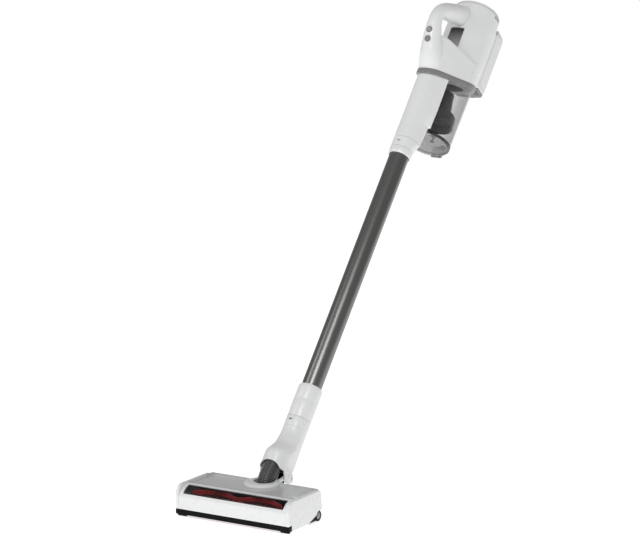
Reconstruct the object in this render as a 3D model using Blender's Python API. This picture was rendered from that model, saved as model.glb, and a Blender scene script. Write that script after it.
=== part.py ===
import bpy
import bmesh
import math
from mathutils import Matrix, Vector

# Cordless stick vacuum. Lengths are in millimetres and become metres when a mesh is made.
# World frame: +Z up, floor at z = 0, the floor head faces -Y, X runs across the head.
# Wand frame: x across, y to the underside of the leaning wand, z up along the wand.
MM = 0.001
GAP = 0.3
ROUND = 32                     # sides of a full circle on the larger round pieces
SMALL_ROUND = 20
SHARP_ANGLE = math.radians(38)

# Floor head
HEAD_HALF_WIDTH = 130.0
HEAD_FRONT = -88.0
HEAD_REAR = 34.0
HEAD_TOP = 61.5
CAP_INNER = 122.3              # side caps start here
COVER_HALF_WIDTH = 122.0
SHELL = 2.4                    # moulded wall
GROOVE_Y = -53.9               # joint between the brush cover and the tray
TRAY_FLOOR = 56.0
BRUSH_Y = -57.5
BRUSH_Z = 27.5
BRUSH_TIP = 25.8
BRUSH_CORE = 14.2
BRUSH_HALF_LENGTH = 103.5
CHAMBER_RADIUS = 27.0
WINDOW_HALF_WIDTH = 113.6
FRONT_BAR_TOP = 14.7
CASTER_X = 117.0
CASTER_Y = -81.4
CASTER_RADIUS = 4.3
WHEEL_X = 122.6
WHEEL_Y = 22.4
WHEEL_RADIUS = 10.5
WHEEL_HALF_WIDTH = 6.0

# Swivel collar and neck pivot
COLLAR_Y = 22.0
COLLAR_HOLE = 30.3
COLLAR_FOOT = 37.0
COLLAR_TOP = 62.5
PIVOT_L = -4.0                 # pivot height on the wand axis
PIN_RADIUS = 3.2
EAR_IN, EAR_OUT = 20.2, 25.3
BOSS_RADIUS = 10.0
BOSS_OUT = 31.8

# Wand
LEAN = math.radians(39.9)
AXIS_Y = 80.0
AXIS_Z = 60.8
TUBE_RADIUS = 20.8
TUBE_WALL = 1.2
SLEEVE_RADIUS = 25.2
NECK_TOP = 99.3
NECK_RING_TOP = 121.2
SLEEVE_TOP = 194.0
UPPER_LIP = 742.0
UPPER_RING_TOP = 780.4

# Hand unit
BIN_Y = 82.0
BIN_RADIUS = 51.3              # under the trim ring
BIN_LOW_RADIUS = 49.4          # at the lid
BIN_WALL = 2.0
LID_BOTTOM = 827.3
LID_TOP = 833.4
HINGE_Y, HINGE_Z = 135.8, 830.4
RING_LEVEL = 955.5             # top face of the trim ring where y = 0
RING_SLOPE = 0.33
RING_HEIGHT = 12.0
MOTOR_Y = 88.0
SEAM_LEVEL = 1027.3
HOUSING_TOP = 1160.0
HOUSING_RADIUS = 53.0
HOUSING_TOP_RADIUS = 51.3
SHELL_SPLIT = 69.6             # front body shell ends, rear shell begins
DOCK_BACK = 139.4
BATTERY_BACK = 180.8
BATTERY_HALF_WIDTH = 35.0
BATTERY_BOTTOM = 1022.0
BATTERY_TOP = 1160.0
CELL_RADIUS = 9.2
CELL_LENGTH = 64.5


def clear_scene():
    for obj in list(bpy.data.objects):
        bpy.data.objects.remove(obj, do_unlink=True)


# ---------------------------------------------------------------- materials

def material(name, color, roughness, metallic=0.0, alpha=1.0):
    mat = bpy.data.materials.new(name)
    mat.use_nodes = True
    shader = mat.node_tree.nodes["Principled BSDF"]
    shader.inputs["Base Color"].default_value = (*color, 1.0)
    shader.inputs["Roughness"].default_value = roughness
    shader.inputs["Metallic"].default_value = metallic
    shader.inputs["Alpha"].default_value = alpha
    return mat


WHITE = (0.86, 0.87, 0.88)
GREY = (0.20, 0.20, 0.21)
MID_GREY = (0.38, 0.38, 0.39)
BLACK = (0.02, 0.02, 0.022)
CLEAR = (0.75, 0.77, 0.78)
RED = (0.45, 0.03, 0.03)
STEEL = (0.62, 0.62, 0.64)
ALLOY = (0.20, 0.19, 0.18)
GREEN = (0.04, 0.22, 0.10)
COPPER = (0.60, 0.32, 0.16)
CELL_BLUE = (0.10, 0.24, 0.44)
FOAM = (0.10, 0.10, 0.11)


# ---------------------------------------------------------------- outlines and meshes

def outline(circles, height, slope=0.0, grow=0.0, count=ROUND):
    """Taut band round a set of circles (x, y, radius), at a height that may rise along y."""
    points = []
    for step in range(count):
        turn = 2 * math.pi * (step + 0.5) / count
        ux, uy = math.cos(turn), math.sin(turn)
        x, y, radius = max(circles, key=lambda c: c[0] * ux + c[1] * uy + c[2])
        px = x + (radius + grow) * ux
        py = y + (radius + grow) * uy
        points.append(Vector((px, py, height + slope * py)))
    return points


def circle(radius, height, y=0.0, slope=0.0, count=ROUND):
    return outline([(0.0, y, radius)], height, slope, 0.0, count)


def rounded(half_x, y0, y1, corner, height, count=ROUND):
    """Rectangle with round corners, between y0 and y1."""
    x, low, high = half_x - corner, y0 + corner, y1 - corner
    corners = [(sx * x, y, corner) for sx in (-1, 1) for y in (low, high)]
    return outline(corners, height, 0.0, 0.0, count)


def loft(rings, cyclic=False, matrix=None):
    """Skin from ring to ring. Flat ends close it, or the last ring joins the first."""
    bm = bmesh.new()
    loops = [[bm.verts.new(point * MM) for point in points] for points in rings]
    pairs = list(zip(loops, loops[1:]))
    if cyclic:
        pairs.append((loops[-1], loops[0]))
    for low, high in pairs:
        size = len(low)
        for i in range(size):
            j = (i + 1) % size
            bm.faces.new((low[i], low[j], high[j], high[i]))
    if not cyclic:
        bm.faces.new(loops[0])
        bm.faces.new(loops[-1])
    if matrix is not None:
        bmesh.ops.transform(bm, matrix=matrix, verts=bm.verts)
    bmesh.ops.recalc_face_normals(bm, faces=bm.faces)
    return bm


def prism(points, start, end, axis="X"):
    """Flat outline pushed along an axis. Outlines are (y, z), (x, z) or (x, y) pairs."""
    def spot(a, b, c):
        if axis == "X":
            return Vector((c, a, b))
        if axis == "Y":
            return Vector((a, c, b))
        return Vector((a, b, c))
    return loft([[spot(a, b, start) for a, b in points], [spot(a, b, end) for a, b in points]])


def block(low, high):
    points = [(low[0], low[1]), (high[0], low[1]), (high[0], high[1]), (low[0], high[1])]
    return prism(points, low[2], high[2], "Z")


def turned_x(profile, y, z, count=SMALL_ROUND):
    """Turned piece along X. The profile holds (x, radius) pairs."""
    rings = []
    for x, radius in profile:
        turns = [2 * math.pi * i / count for i in range(count)]
        rings.append([Vector((x, y + radius * math.cos(t), z + radius * math.sin(t))) for t in turns])
    return rings


def arc(cy, cz, radius, start, end, steps):
    turns = [math.radians(start + (end - start) * i / steps) for i in range(steps + 1)]
    return [(cy + radius * math.cos(t), cz + radius * math.sin(t)) for t in turns]


# ---------------------------------------------------------------- objects

def make(name, bm, mat=None, parent=None, origin=(0.0, 0.0, 0.0)):
    """New object whose own origin is the given point (mm) of its parent's frame."""
    offset = Vector(origin) * MM
    bmesh.ops.translate(bm, vec=-offset, verts=bm.verts)
    mesh = bpy.data.meshes.new(name)
    bm.to_mesh(mesh)
    bm.free()
    mesh.shade_smooth()
    mesh.set_sharp_from_angle(angle=SHARP_ANGLE)
    obj = bpy.data.objects.new(name, mesh)
    bpy.context.scene.collection.objects.link(obj)
    obj.parent = parent
    obj.location = offset
    if mat is not None:
        mesh.materials.append(mat)
    return obj


def combine(obj, bm, operation, origin=(0.0, 0.0, 0.0)):
    """Boolean with a hidden helper shape. EXACT is the default solver."""
    helper = make(obj.name + "_helper", bm, None, obj.parent)
    helper.hide_render = True
    helper.display_type = "WIRE"
    step = obj.modifiers.new("shape", "BOOLEAN")
    step.operation = operation
    step.object = helper
    return helper


def cut(obj, bm):
    combine(obj, bm, "DIFFERENCE")


def join(obj, bm):
    combine(obj, bm, "UNION")


# ---------------------------------------------------------------- floor head

def cover_curve(steps=10):
    """Front of the brush cover: upright face, then one bezier to the groove."""
    p0, p1 = Vector((-88.0, 38.0)), Vector((-88.0, 48.5))
    p2, p3 = Vector((-72.0, 60.4)), Vector((GROOVE_Y - 0.7, 60.8))
    points = []
    for i in range(steps + 1):
        t = i / steps
        s = 1 - t
        point = s**3 * p0 + 3 * s * s * t * p1 + 3 * s * t * t * p2 + t**3 * p3
        points.append((point.x, point.y))
    return points


def offset_path(points, distance):
    """Open path moved to its right-hand side."""
    moved = []
    last = len(points) - 1
    for i, point in enumerate(points):
        before, after = points[max(i - 1, 0)], points[min(i + 1, last)]
        dy, dz = after[0] - before[0], after[1] - before[1]
        size = math.hypot(dy, dz)
        moved.append((point[0] + distance * dz / size, point[1] - distance * dy / size))
    return moved


def shrunk(points, distance):
    """Closed outline moved inwards, in the order the side cap runs (clockwise seen from +X)."""
    if distance == 0.0:
        return list(points)
    moved = []
    size = len(points)
    for i, (y, z) in enumerate(points):
        before, after = points[i - 1], points[(i + 1) % size]
        one = Vector((y - before[0], z - before[1])).normalized()
        two = Vector((after[0] - y, after[1] - z)).normalized()
        inward = Vector((one.y + two.y, -one.x - two.x)).normalized()
        moved.append((y + inward.x * distance, z + inward.y * distance))
    return moved


WINDOW_LOW = Vector((-85.3, 46.6))
WINDOW_HIGH = Vector((-63.2, 59.5))


def window_block(grow):
    """Block square to the window's slope, from below the skin to above it."""
    along = (WINDOW_HIGH - WINDOW_LOW).normalized()
    out = Vector((-along.y, along.x))
    low, high = WINDOW_LOW - along * grow, WINDOW_HIGH + along * grow
    reach = 12.0
    points = [low - out * reach, high - out * reach, high + out * reach, low + out * reach]
    half = WINDOW_HALF_WIDTH + grow
    return prism([(p.x, p.y) for p in points], -half, half)


def brush_cover(mats):
    outer = [(-88.0, 15.1)] + cover_curve()
    inner = offset_path(outer, SHELL)
    inner[0] = (inner[0][0], 15.1)
    section = outer + inner[::-1]
    obj = make("brush_cover", prism(section, -COVER_HALF_WIDTH, COVER_HALF_WIDTH), mats["white"])
    cut(obj, window_block(0.0))
    return obj


def brush_window(mats):
    curve = cover_curve(16)
    outer = offset_path(curve, 0.2)
    inner = offset_path(curve, 2.0)
    section = outer + inner[::-1]
    obj = make("brush_window", prism(section, -140.0, 140.0), mats["window"])
    combine(obj, window_block(-GAP), "INTERSECT")
    return obj


def tray_housing(mats):
    top = [(GROOVE_Y + 0.5, 59.6), (-47.0, 59.3), (-40.0, 57.6), (-15.0, TRAY_FLOOR), (27.4, TRAY_FLOOR)]
    rim = [(28.6, 60.4), (30.0, HEAD_TOP), (31.6, 61.0), (32.8, 58.0), (33.6, 44.0), (HEAD_REAR, 8.0)]
    inside = [(31.6, 8.0), (31.2, 44.0), (30.4, 53.6), (-15.0, 53.6), (-40.0, 55.0), (GROOVE_Y + 0.5, 57.0)]
    obj = make("tray_housing", prism(top + rim + inside, -COVER_HALF_WIDTH, COVER_HALF_WIDTH), mats["white"])
    cut(obj, loft([circle(COLLAR_FOOT + 0.7, TRAY_FLOOR + 0.02, COLLAR_Y), circle(COLLAR_FOOT + 0.7, 70.0, COLLAR_Y)]))
    join(obj, loft([circle(41.5, 45.0, COLLAR_Y), circle(41.5, 55.2, COLLAR_Y), circle(40.7, TRAY_FLOOR, COLLAR_Y)]))
    cut(obj, loft([circle(COLLAR_HOLE, 30.0, COLLAR_Y), circle(COLLAR_HOLE, 70.0, COLLAR_Y)]))
    cut(obj, block((-20.4, 42.0, 44.4), (20.4, 70.0, 60.0)))
    cut(obj, block((104.6, -44.4, 57.4), (120.4, -36.1, 64.0)))
    for side in (-1, 1):
        x = sorted((side * 114.5, side * 124.0))
        cut(obj, block((x[0], 8.0, 0.0), (x[1], 40.0, 23.0)))
    return obj


def side_cap(name, side, mats):
    front = [(-88.0, 15.1), (-88.4, 30.0), (-88.4, 42.0), (-86.6, 50.0), (-82.5, 56.5), (-76.0, 60.8), (-69.0, 62.4)]
    top = [(-49.0, 62.2), (18.0, 61.8), (26.0, 60.0), (29.5, 55.5), (31.5, 44.0), (34.0, 24.0), (33.6, 21.5)]
    low = [(-12.0, 4.6), (-17.0, 3.4), (-74.5, 3.4), (-77.0, 6.0), (-77.0, 15.1)]
    outer = front + top + low
    rings = [(side * CAP_INNER, 0.0), (side * (HEAD_HALF_WIDTH - 1.6), 0.0), (side * (HEAD_HALF_WIDTH - 0.5), 0.5),
             (side * HEAD_HALF_WIDTH, 1.6)]
    obj = make(name, loft([[Vector((x, y, z)) for y, z in shrunk(outer, inset)] for x, inset in rings]), mats["white"])
    cut(obj, loft(turned_x([(side * 110.0, WHEEL_RADIUS + 0.9), (side * 140.0, WHEEL_RADIUS + 0.9)], WHEEL_Y, WHEEL_RADIUS)))
    return obj


def base_plate(mats):
    obj = make("base_plate", block((-121.8, -80.0, 3.0), (121.8, 31.2, 5.6)), mats["black"])
    join(obj, block((-129.4, -87.6, 4.4), (129.4, -77.4, FRONT_BAR_TOP)))
    cut(obj, block((-104.6, -84.9, -5.0), (104.6, -33.0, 30.0)))
    for side in (-1, 1):
        x = sorted((side * (CASTER_X - 10.2), side * (CASTER_X + 10.2)))
        cut(obj, block((x[0], -86.3, -5.0), (x[1], -76.0, 9.6)))
        x = sorted((side * 114.8, side * 130.0))
        cut(obj, block((x[0], 10.8, -5.0), (x[1], 40.0, 20.0)))
        x = sorted((side * 112.0, side * 114.6))
        join(obj, block((x[0], 15.0, 4.0), (x[1], 30.0, 16.5)))
    return obj


def brush_chamber(mats):
    outer = arc(BRUSH_Y, BRUSH_Z, CHAMBER_RADIUS + 1.4, 72, -30, 12)
    inner = arc(BRUSH_Y, BRUSH_Z, CHAMBER_RADIUS, -30, 72, 12)
    obj = make("brush_chamber", prism(outer + inner, -106.5, 106.5), mats["black"])
    cut(obj, block((-29.0, -60.0, 17.0), (29.0, 0.0, 38.0)))
    return obj


def suction_duct(mats):
    """Elbow from the brush chamber up to the collar, as (y, z, pitch, half width, half height)."""
    stations = [(-28.2, 27.5, 0, 30.5, 12.0), (-12.0, 27.5, 0, 30.5, 12.0), (3.0, 29.5, 28, 29.5, 14.0),
                (12.0, 35.5, 58, 28.5, 16.0), (COLLAR_Y - 4.5, 40.5, 78, 27.8, 23.5), (COLLAR_Y, 44.9, 90, 27.5, 27.5)]

    def skin(wall):
        rings = []
        for y, z, pitch, wide, tall in stations:
            tilt = math.radians(pitch)
            points = []
            for i in range(24):
                t = 2 * math.pi * i / 24
                a, b = (wide - wall) * math.cos(t), (tall - wall) * math.sin(t)
                points.append(Vector((a, y - b * math.sin(tilt), z + b * math.cos(tilt))))
            rings.append(points)
        return rings
    return make("suction_duct", loft(skin(0.0) + skin(1.6)[::-1], cyclic=True), mats["black"])


def brush_parts(mats):
    core = [(-112.0, 3.0), (-105.0, 3.0), (-105.0, 12.0), (-103.5, BRUSH_CORE), (103.5, BRUSH_CORE), (105.0, 12.0),
            (105.0, 3.0), (121.0, 3.0)]
    at = (0.0, BRUSH_Y, BRUSH_Z)
    roller = make("brush_roller", loft(turned_x(core, BRUSH_Y, BRUSH_Z)), mats["black"], origin=at)
    make("brush_pile", brush_pile(), mats["red"], origin=at)
    pulley = turned_x([(-117.6, 9.0), (-117.6, 10.0), (-116.9, 10.0), (-116.9, 9.0), (-112.3, 9.0), (-112.3, 10.0),
                       (-111.6, 10.0), (-111.6, 3.3), (-105.4, 3.3), (-105.4, 5.0)], BRUSH_Y, BRUSH_Z)
    hub = turned_x([(-121.6, 3.0), (-118.2, 3.0), (-118.2, 9.0), (-112.3, 9.0), (-112.3, 3.0)], BRUSH_Y, BRUSH_Z)
    make("roller_pulley", loft(hub), mats["dark"], origin=at)
    return roller, pulley


def brush_pile():
    """Pile sleeve on the roller with four wavy rows of bristles: two waves along its length."""
    steps, inside, base = 24, BRUSH_CORE + 1.1, BRUSH_CORE + 2.6
    outer, inner = [], []
    for i in range(steps + 1):
        x = -102.0 + 204.0 * i / steps
        swing = 26.0 * math.cos(2 * math.pi * 2 * x / 204.0)
        out_ring, in_ring = [], []
        for row in range(4):
            middle = row * 90.0 + swing
            for away, turn in ((base, -30), (base, -7), (BRUSH_TIP, -2.2), (BRUSH_TIP, 2.2), (base, 7), (base, 30)):
                angle = math.radians(middle + turn)
                spot = Vector((x, BRUSH_Y + away * math.cos(angle), BRUSH_Z + away * math.sin(angle)))
                out_ring.append(spot)
                spot = Vector((x, BRUSH_Y + inside * math.cos(angle), BRUSH_Z + inside * math.sin(angle)))
                in_ring.append(spot)
        outer.append(out_ring)
        inner.append(in_ring)
    return loft(outer + inner[::-1], cyclic=True)


def band_x(circles, grow, thick, x0, x1, count=28):
    """Closed belt round circles (y, z, radius) in a plane across X."""
    def face(x, extra):
        return [Vector((x, p.x, p.y)) for p in outline(circles, 0.0, 0.0, extra, count)]
    return loft([face(x0, grow), face(x1, grow), face(x1, grow + thick), face(x0, grow + thick)], cyclic=True)


def drive_parts(mats):
    motor_y, motor_z = 2.0, 22.0
    make("brush_motor", loft(turned_x([(-99.0, 8.0), (-97.0, 13.0), (-48.0, 13.0), (-46.0, 9.0)], motor_y, motor_z)),
         mats["steel"])
    at = (0.0, motor_y, motor_z)
    make("motor_pulley", loft(turned_x([(-117.8, 5.0), (-112.0, 5.0), (-112.0, 1.6), (-99.4, 1.6)], motor_y, motor_z)),
         mats["dark"], origin=at)
    circles = [(BRUSH_Y, BRUSH_Z, 9.0), (motor_y, motor_z, 5.0)]
    make("drive_belt", band_x(circles, GAP, 1.3, -117.2, -112.8), mats["black"])
    for name, x0, x1 in (("bearing_left", -121.9, -118.9), ("bearing_right", 113.0, 121.9)):
        if x0 < 0:
            x0, x1 = -121.9, -118.6
        rings = [turned_x([(x, r)], BRUSH_Y, BRUSH_Z)[0] for x, r in ((x0, 3.3), (x1, 3.3), (x1, 7.0), (x0, 7.0))]
        make(name, loft(rings, cyclic=True), mats["steel"])


def wheels(mats):
    for side, word in ((-1, "left"), (1, "right")):
        ends = sorted((side * (CASTER_X - 9.6), side * (CASTER_X + 9.6)))
        at = (side * CASTER_X, CASTER_Y, CASTER_RADIUS)
        make("front_roller_" + word,
             loft(turned_x([(ends[0], 3.4), (ends[0] + 1, CASTER_RADIUS), (ends[1] - 1, CASTER_RADIUS), (ends[1], 3.4)],
                           CASTER_Y, CASTER_RADIUS, 16)), mats["dark"], origin=at)
        x_in, x_out = side * (WHEEL_X - WHEEL_HALF_WIDTH), side * (WHEEL_X + WHEEL_HALF_WIDTH)
        at = (side * WHEEL_X, WHEEL_Y, WHEEL_RADIUS)
        wheel = [(x_in - side * 1.2, 2.6), (x_in, 2.6), (x_in, 9.6), (x_in + side, WHEEL_RADIUS),
                 (x_out - side, WHEEL_RADIUS), (x_out, 9.6), (x_out, 6.4), (x_out - side * 0.8, 5.8)]
        make("rear_wheel_" + word, loft(turned_x(wheel, WHEEL_Y, WHEEL_RADIUS, 24)), mats["rubber"], origin=at)


def cap_latch(mats):
    make("cap_latch", block((108.0, -44.0, 57.8), (120.0, -36.5, 60.4)), mats["dark"], origin=(114.0, -40.0, 59.0))


# ---------------------------------------------------------------- swivel collar and neck

def pivot_world():
    y = AXIS_Y + PIVOT_L * math.sin(LEAN)
    z = AXIS_Z + PIVOT_L * math.cos(LEAN)
    return y, z


def swivel_collar(mats):
    profile = [(30.0, 45.3), (30.0, 56.35), (COLLAR_FOOT, 56.35), (COLLAR_FOOT, 57.6), (34.2, 60.2), (31.0, 62.0),
               (28.5, COLLAR_TOP), (24.0, 61.6)]
    rings = [circle(r, z, COLLAR_Y) for r, z in profile]
    at = (0.0, COLLAR_Y, 56.0)
    obj = make("swivel_collar", loft(rings), mats["white"], origin=at)
    py, pz = pivot_world()
    boss = arc(py, pz, BOSS_RADIUS - 0.4, 115, -145, 14)
    ear = [(38.0, 57.0), (38.0, 61.6), (56.0, 62.6), (66.0, 64.5)] + boss + [(64.0, 56.8)]
    for side in (-1, 1):
        x = sorted((side * EAR_IN, side * EAR_OUT))
        join(obj, prism(ear, x[0], x[1]))
    cut(obj, loft([circle(21.1, 40.0, 29.0), circle(21.1, 70.0, 29.0)]))
    cut(obj, block((-19.7, 30.0, 40.0), (19.7, 70.0, 70.0)))
    hole = PIN_RADIUS + GAP
    cut(obj, loft(turned_x([(-40.0, hole), (40.0, hole)], py, pz, 16)))
    for side, word in ((-1, "left"), (1, "right")):
        x = (side * (EAR_IN + 0.4), side * (BOSS_OUT - 0.6))
        make("hinge_pin_" + word, loft(turned_x([(x[0], PIN_RADIUS), (x[1], PIN_RADIUS)], py, pz, 16)), mats["steel"],
             origin=(0.0, py, pz))


def neck_rings(wall):
    """Hood of the neck from the legs up to the round top, as outlines round two or three circles."""
    flare = [(-21.8, -4.0, 10.0), (21.8, -4.0, 10.0), (0.0, -23.0, 28.0)]
    levels = [(-15.0, flare), (2.0, flare), (10.0, [(-17.5, -2.0, 11.5), (17.5, -2.0, 11.5), (0.0, -23.0, 28.0)]),
              (18.0, [(0.0, 0.0, 26.2), (0.0, -23.0, 28.0)]), (33.0, [(0.0, 0.0, 26.0), (0.0, -22.0, 28.0)]),
              (44.0, [(0.0, 0.0, 25.8), (0.0, -15.5, 27.2)]), (58.0, [(0.0, 0.0, 25.5), (0.0, -7.0, 25.6)]),
              (73.0, [(0.0, 0.0, 25.3), (0.0, -2.5, 25.3)]), (NECK_TOP, [(0.0, 0.0, 25.2)])]
    return [outline(circles, level, 0.0, -wall) for level, circles in levels]


def neck(mats, frame):
    at = (0.0, 0.0, PIVOT_L)
    obj = make("neck_shell", loft(neck_rings(0.0)), mats["white"], frame, at)
    room = EAR_OUT + 0.5
    for side in (-1, 1):
        x = (side * 24.0, side * BOSS_OUT)
        join(obj, loft(turned_x([(x[0], BOSS_RADIUS), (x[1], BOSS_RADIUS)], 0.0, PIVOT_L, 28)))
    inside = neck_rings(SHELL)
    inside[-1] = [point + Vector((0.0, 0.0, 2.0)) for point in inside[-1]]
    cut(obj, loft([[point - Vector((0.0, 0.0, 9.0)) for point in inside[0]]] + inside))
    # Room between the legs for the collar's ears, then the arch in front and the slanted leg ends.
    cut(obj, block((-room, -24.0, -31.0), (room, 61.0, 8.3)))
    arch = [(27.3 * math.cos(t), -22.0 + 31.5 * math.sin(t)) for t in [math.pi * i / 18 for i in range(19)]]
    cut(obj, prism(arch, -72.0, -11.3, "Y"))
    cut(obj, block((-61.0, -73.0, -41.0), (61.0, -26.3, -1.2)))
    cut(obj, prism([(-26.4, -1.1), (-10.2, -20.3), (-40.0, -20.3), (-40.0, -1.1)], -62.0, 62.0))
    hole = PIN_RADIUS + GAP
    cut(obj, loft(turned_x([(-41.0, hole), (41.0, hole)], 0.0, PIVOT_L, 16)))
    ring = [circle(SLEEVE_RADIUS, NECK_TOP + GAP), circle(SLEEVE_RADIUS, NECK_RING_TOP),
            circle(21.6, NECK_RING_TOP), circle(21.6, NECK_TOP + GAP)]
    ring_obj = make("neck_ring", loft(ring, cyclic=True), mats["white"], frame)
    cut(ring_obj, block((-6.3, 15.0, 103.7), (6.3, 40.0, 116.3)))
    make("neck_release", block((-6.0, 21.6, 104.0), (6.0, 27.0, 116.0)), mats["grey"], frame, (0.0, 27.0, 110.0))
    spigot = [circle(17.2, 82.0), circle(17.2, 136.0), circle(19.1, 136.0), circle(19.1, 98.0), circle(22.0, 98.0),
              circle(22.0, 74.0), circle(19.4, 74.0), circle(19.4, 82.0)]
    make("neck_spigot", loft(spigot, cyclic=True), mats["dark"], frame)


def hose_route():
    """Middle line of the hose in the wand frame, from the collar up into the cuff."""
    return [(-28.6, -36.4), (-31.2, -28.0), (-32.2, -19.1), (-31.2, -9.0), (-29.6, 1.8), (-27.6, 13.0), (-24.0, 25.0),
            (-16.8, 41.0), (-8.4, 56.0), (-2.6, 65.0), (-0.5, 70.0), (0.0, 76.0)]


def flex_hose(mats, frame):
    route = hose_route()
    radius, wall = 18.6, 1.4
    last = len(route) - 1
    outer, inner = [], []
    for i, (y, z) in enumerate(route):
        before, after = route[max(i - 1, 0)], route[min(i + 1, last)]
        dy, dz = after[0] - before[0], after[1] - before[1]
        size = math.hypot(dy, dz)
        across = Vector((0.0, dz / size, -dy / size))
        turns = [2 * math.pi * k / 24 for k in range(24)]
        for points, r in ((outer, radius), (inner, radius - wall)):
            points.append([Vector((0.0, y, z)) + Vector((1, 0, 0)) * r * math.cos(t) + across * r * math.sin(t)
                           for t in turns])
    make("flex_hose", loft(outer + inner[::-1], cyclic=True), mats["black"], frame)


# ---------------------------------------------------------------- wand

def wand(mats, frame):
    tube = [circle(TUBE_RADIUS, NECK_RING_TOP + 16.0), circle(TUBE_RADIUS, UPPER_RING_TOP - 3.0),
            circle(TUBE_RADIUS - TUBE_WALL, UPPER_RING_TOP - 3.0), circle(TUBE_RADIUS - TUBE_WALL, NECK_RING_TOP + 16.0)]
    make("wand_tube", loft(tube, cyclic=True), mats["alloy"], frame)
    inner = TUBE_RADIUS + GAP
    lower = [circle(SLEEVE_RADIUS, NECK_RING_TOP + 0.5), circle(SLEEVE_RADIUS + 0.2, 160.0), circle(SLEEVE_RADIUS, 188.0),
             circle(SLEEVE_RADIUS - 0.6, SLEEVE_TOP), circle(inner, SLEEVE_TOP), circle(inner, NECK_RING_TOP + 0.5)]
    make("lower_sleeve", loft(lower, cyclic=True), mats["white"], frame)
    upper = [circle(inner, UPPER_LIP), circle(23.4, UPPER_LIP), circle(24.4, UPPER_LIP + 5.0), circle(24.4, 757.6),
             circle(inner, 757.6)]
    make("upper_sleeve", loft(upper, cyclic=True), mats["white"], frame)


# ---------------------------------------------------------------- hand unit

def tube_housing(mats, frame):
    def wide(x, y, r):
        return [(0.0, 0.0, 24.3), (-x, y, r), (x, y, r)]
    under = -RING_HEIGHT - GAP
    levels = [(UPPER_RING_TOP + 0.4, 0.0, wide(18.0, 9.5, 12.5)), (827.0, 0.0, wide(22.0, 14.0, 9.5)),
              (829.0, 0.0, wide(22.0, 14.0, 9.6)), (831.5, 0.0, wide(26.0, 18.0, 8.5)),
              (874.0, 0.0, wide(26.5, 19.0, 8.5)), (RING_LEVEL + under, RING_SLOPE, wide(26.0, 18.5, 8.5))]
    outer = [outline(c, level, slope) for level, slope, c in levels]
    inner = [outline(c, level, slope, -2.2) for level, slope, c in levels]
    make("tube_housing", loft(outer + inner[::-1], cyclic=True), mats["white"], frame)
    collar = [circle(24.3, 758.0), outline(wide(17.0, 8.5, 12.5), UPPER_RING_TOP), circle(21.3, UPPER_RING_TOP),
              circle(21.3, 758.0)]
    ring = make("upper_ring", loft(collar, cyclic=True), mats["white"], frame)
    cut(ring, block((-6.3, 15.0, 761.7), (6.3, 40.0, 775.3)))
    make("wand_release", block((-6.0, 22.4, 762.0), (6.0, 26.2, 775.0)), mats["grey"], frame, (0.0, 26.0, 768.5))


RING_CIRCLES = [(0.0, 0.0, 29.2), (0.0, 84.0, 55.5)]


def trim_ring(mats, frame):
    """Grey band between the body and what hangs below it: a plate with the tube and bin passages."""
    low, high = RING_LEVEL - RING_HEIGHT, RING_LEVEL
    obj = make("trim_ring", loft([outline(RING_CIRCLES, low, RING_SLOPE, -0.8), outline(RING_CIRCLES, low + 2, RING_SLOPE),
                                  outline(RING_CIRCLES, high - 1, RING_SLOPE),
                                  outline(RING_CIRCLES, high, RING_SLOPE, -0.6)]), mats["trim"], frame)
    cut(obj, loft([circle(21.5, 900.0), circle(21.5, 1100.0)]))
    cut(obj, loft([circle(33.0, 900.0, BIN_Y), circle(33.0, 1100.0, BIN_Y)]))


def body_circles():
    return [(0.0, -6.0, 28.6), (0.0, 84.0, 54.5)]


HANDLE_PATH = [(-8.0, 962.0, 27.0, 26.0), (-27.0, 983.0, 24.0, 24.5), (-37.0, 999.0, 21.5, 22.0),
               (-46.5, 1016.0, 18.8, 19.6), (-53.0, 1031.0, 16.6, 17.4), (-57.0, 1046.0, 14.8, 15.0),
               (-56.5, 1060.0, 14.6, 14.6), (-49.0, 1074.0, 15.0, 15.6), (-36.0, 1084.0, 15.4, 18.0),
               (-18.0, 1094.0, 15.6, 20.0), (8.0, 1108.0, 15.8, 21.5), (44.0, 1126.0, 16.0, 22.5)]


def handle_mesh():
    rings = []
    last = len(HANDLE_PATH) - 1
    for i, (y, z, half_x, half_y) in enumerate(HANDLE_PATH):
        before, after = HANDLE_PATH[max(i - 1, 0)], HANDLE_PATH[min(i + 1, last)]
        dy, dz = after[0] - before[0], after[1] - before[1]
        size = math.hypot(dy, dz)
        across = Vector((0.0, dz / size, -dy / size))
        turns = [2 * math.pi * (k + 0.5) / 24 for k in range(24)]
        rings.append([Vector((half_x * math.cos(t), y, z)) + across * half_y * math.sin(t) for t in turns])
    return loft(rings)


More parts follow.
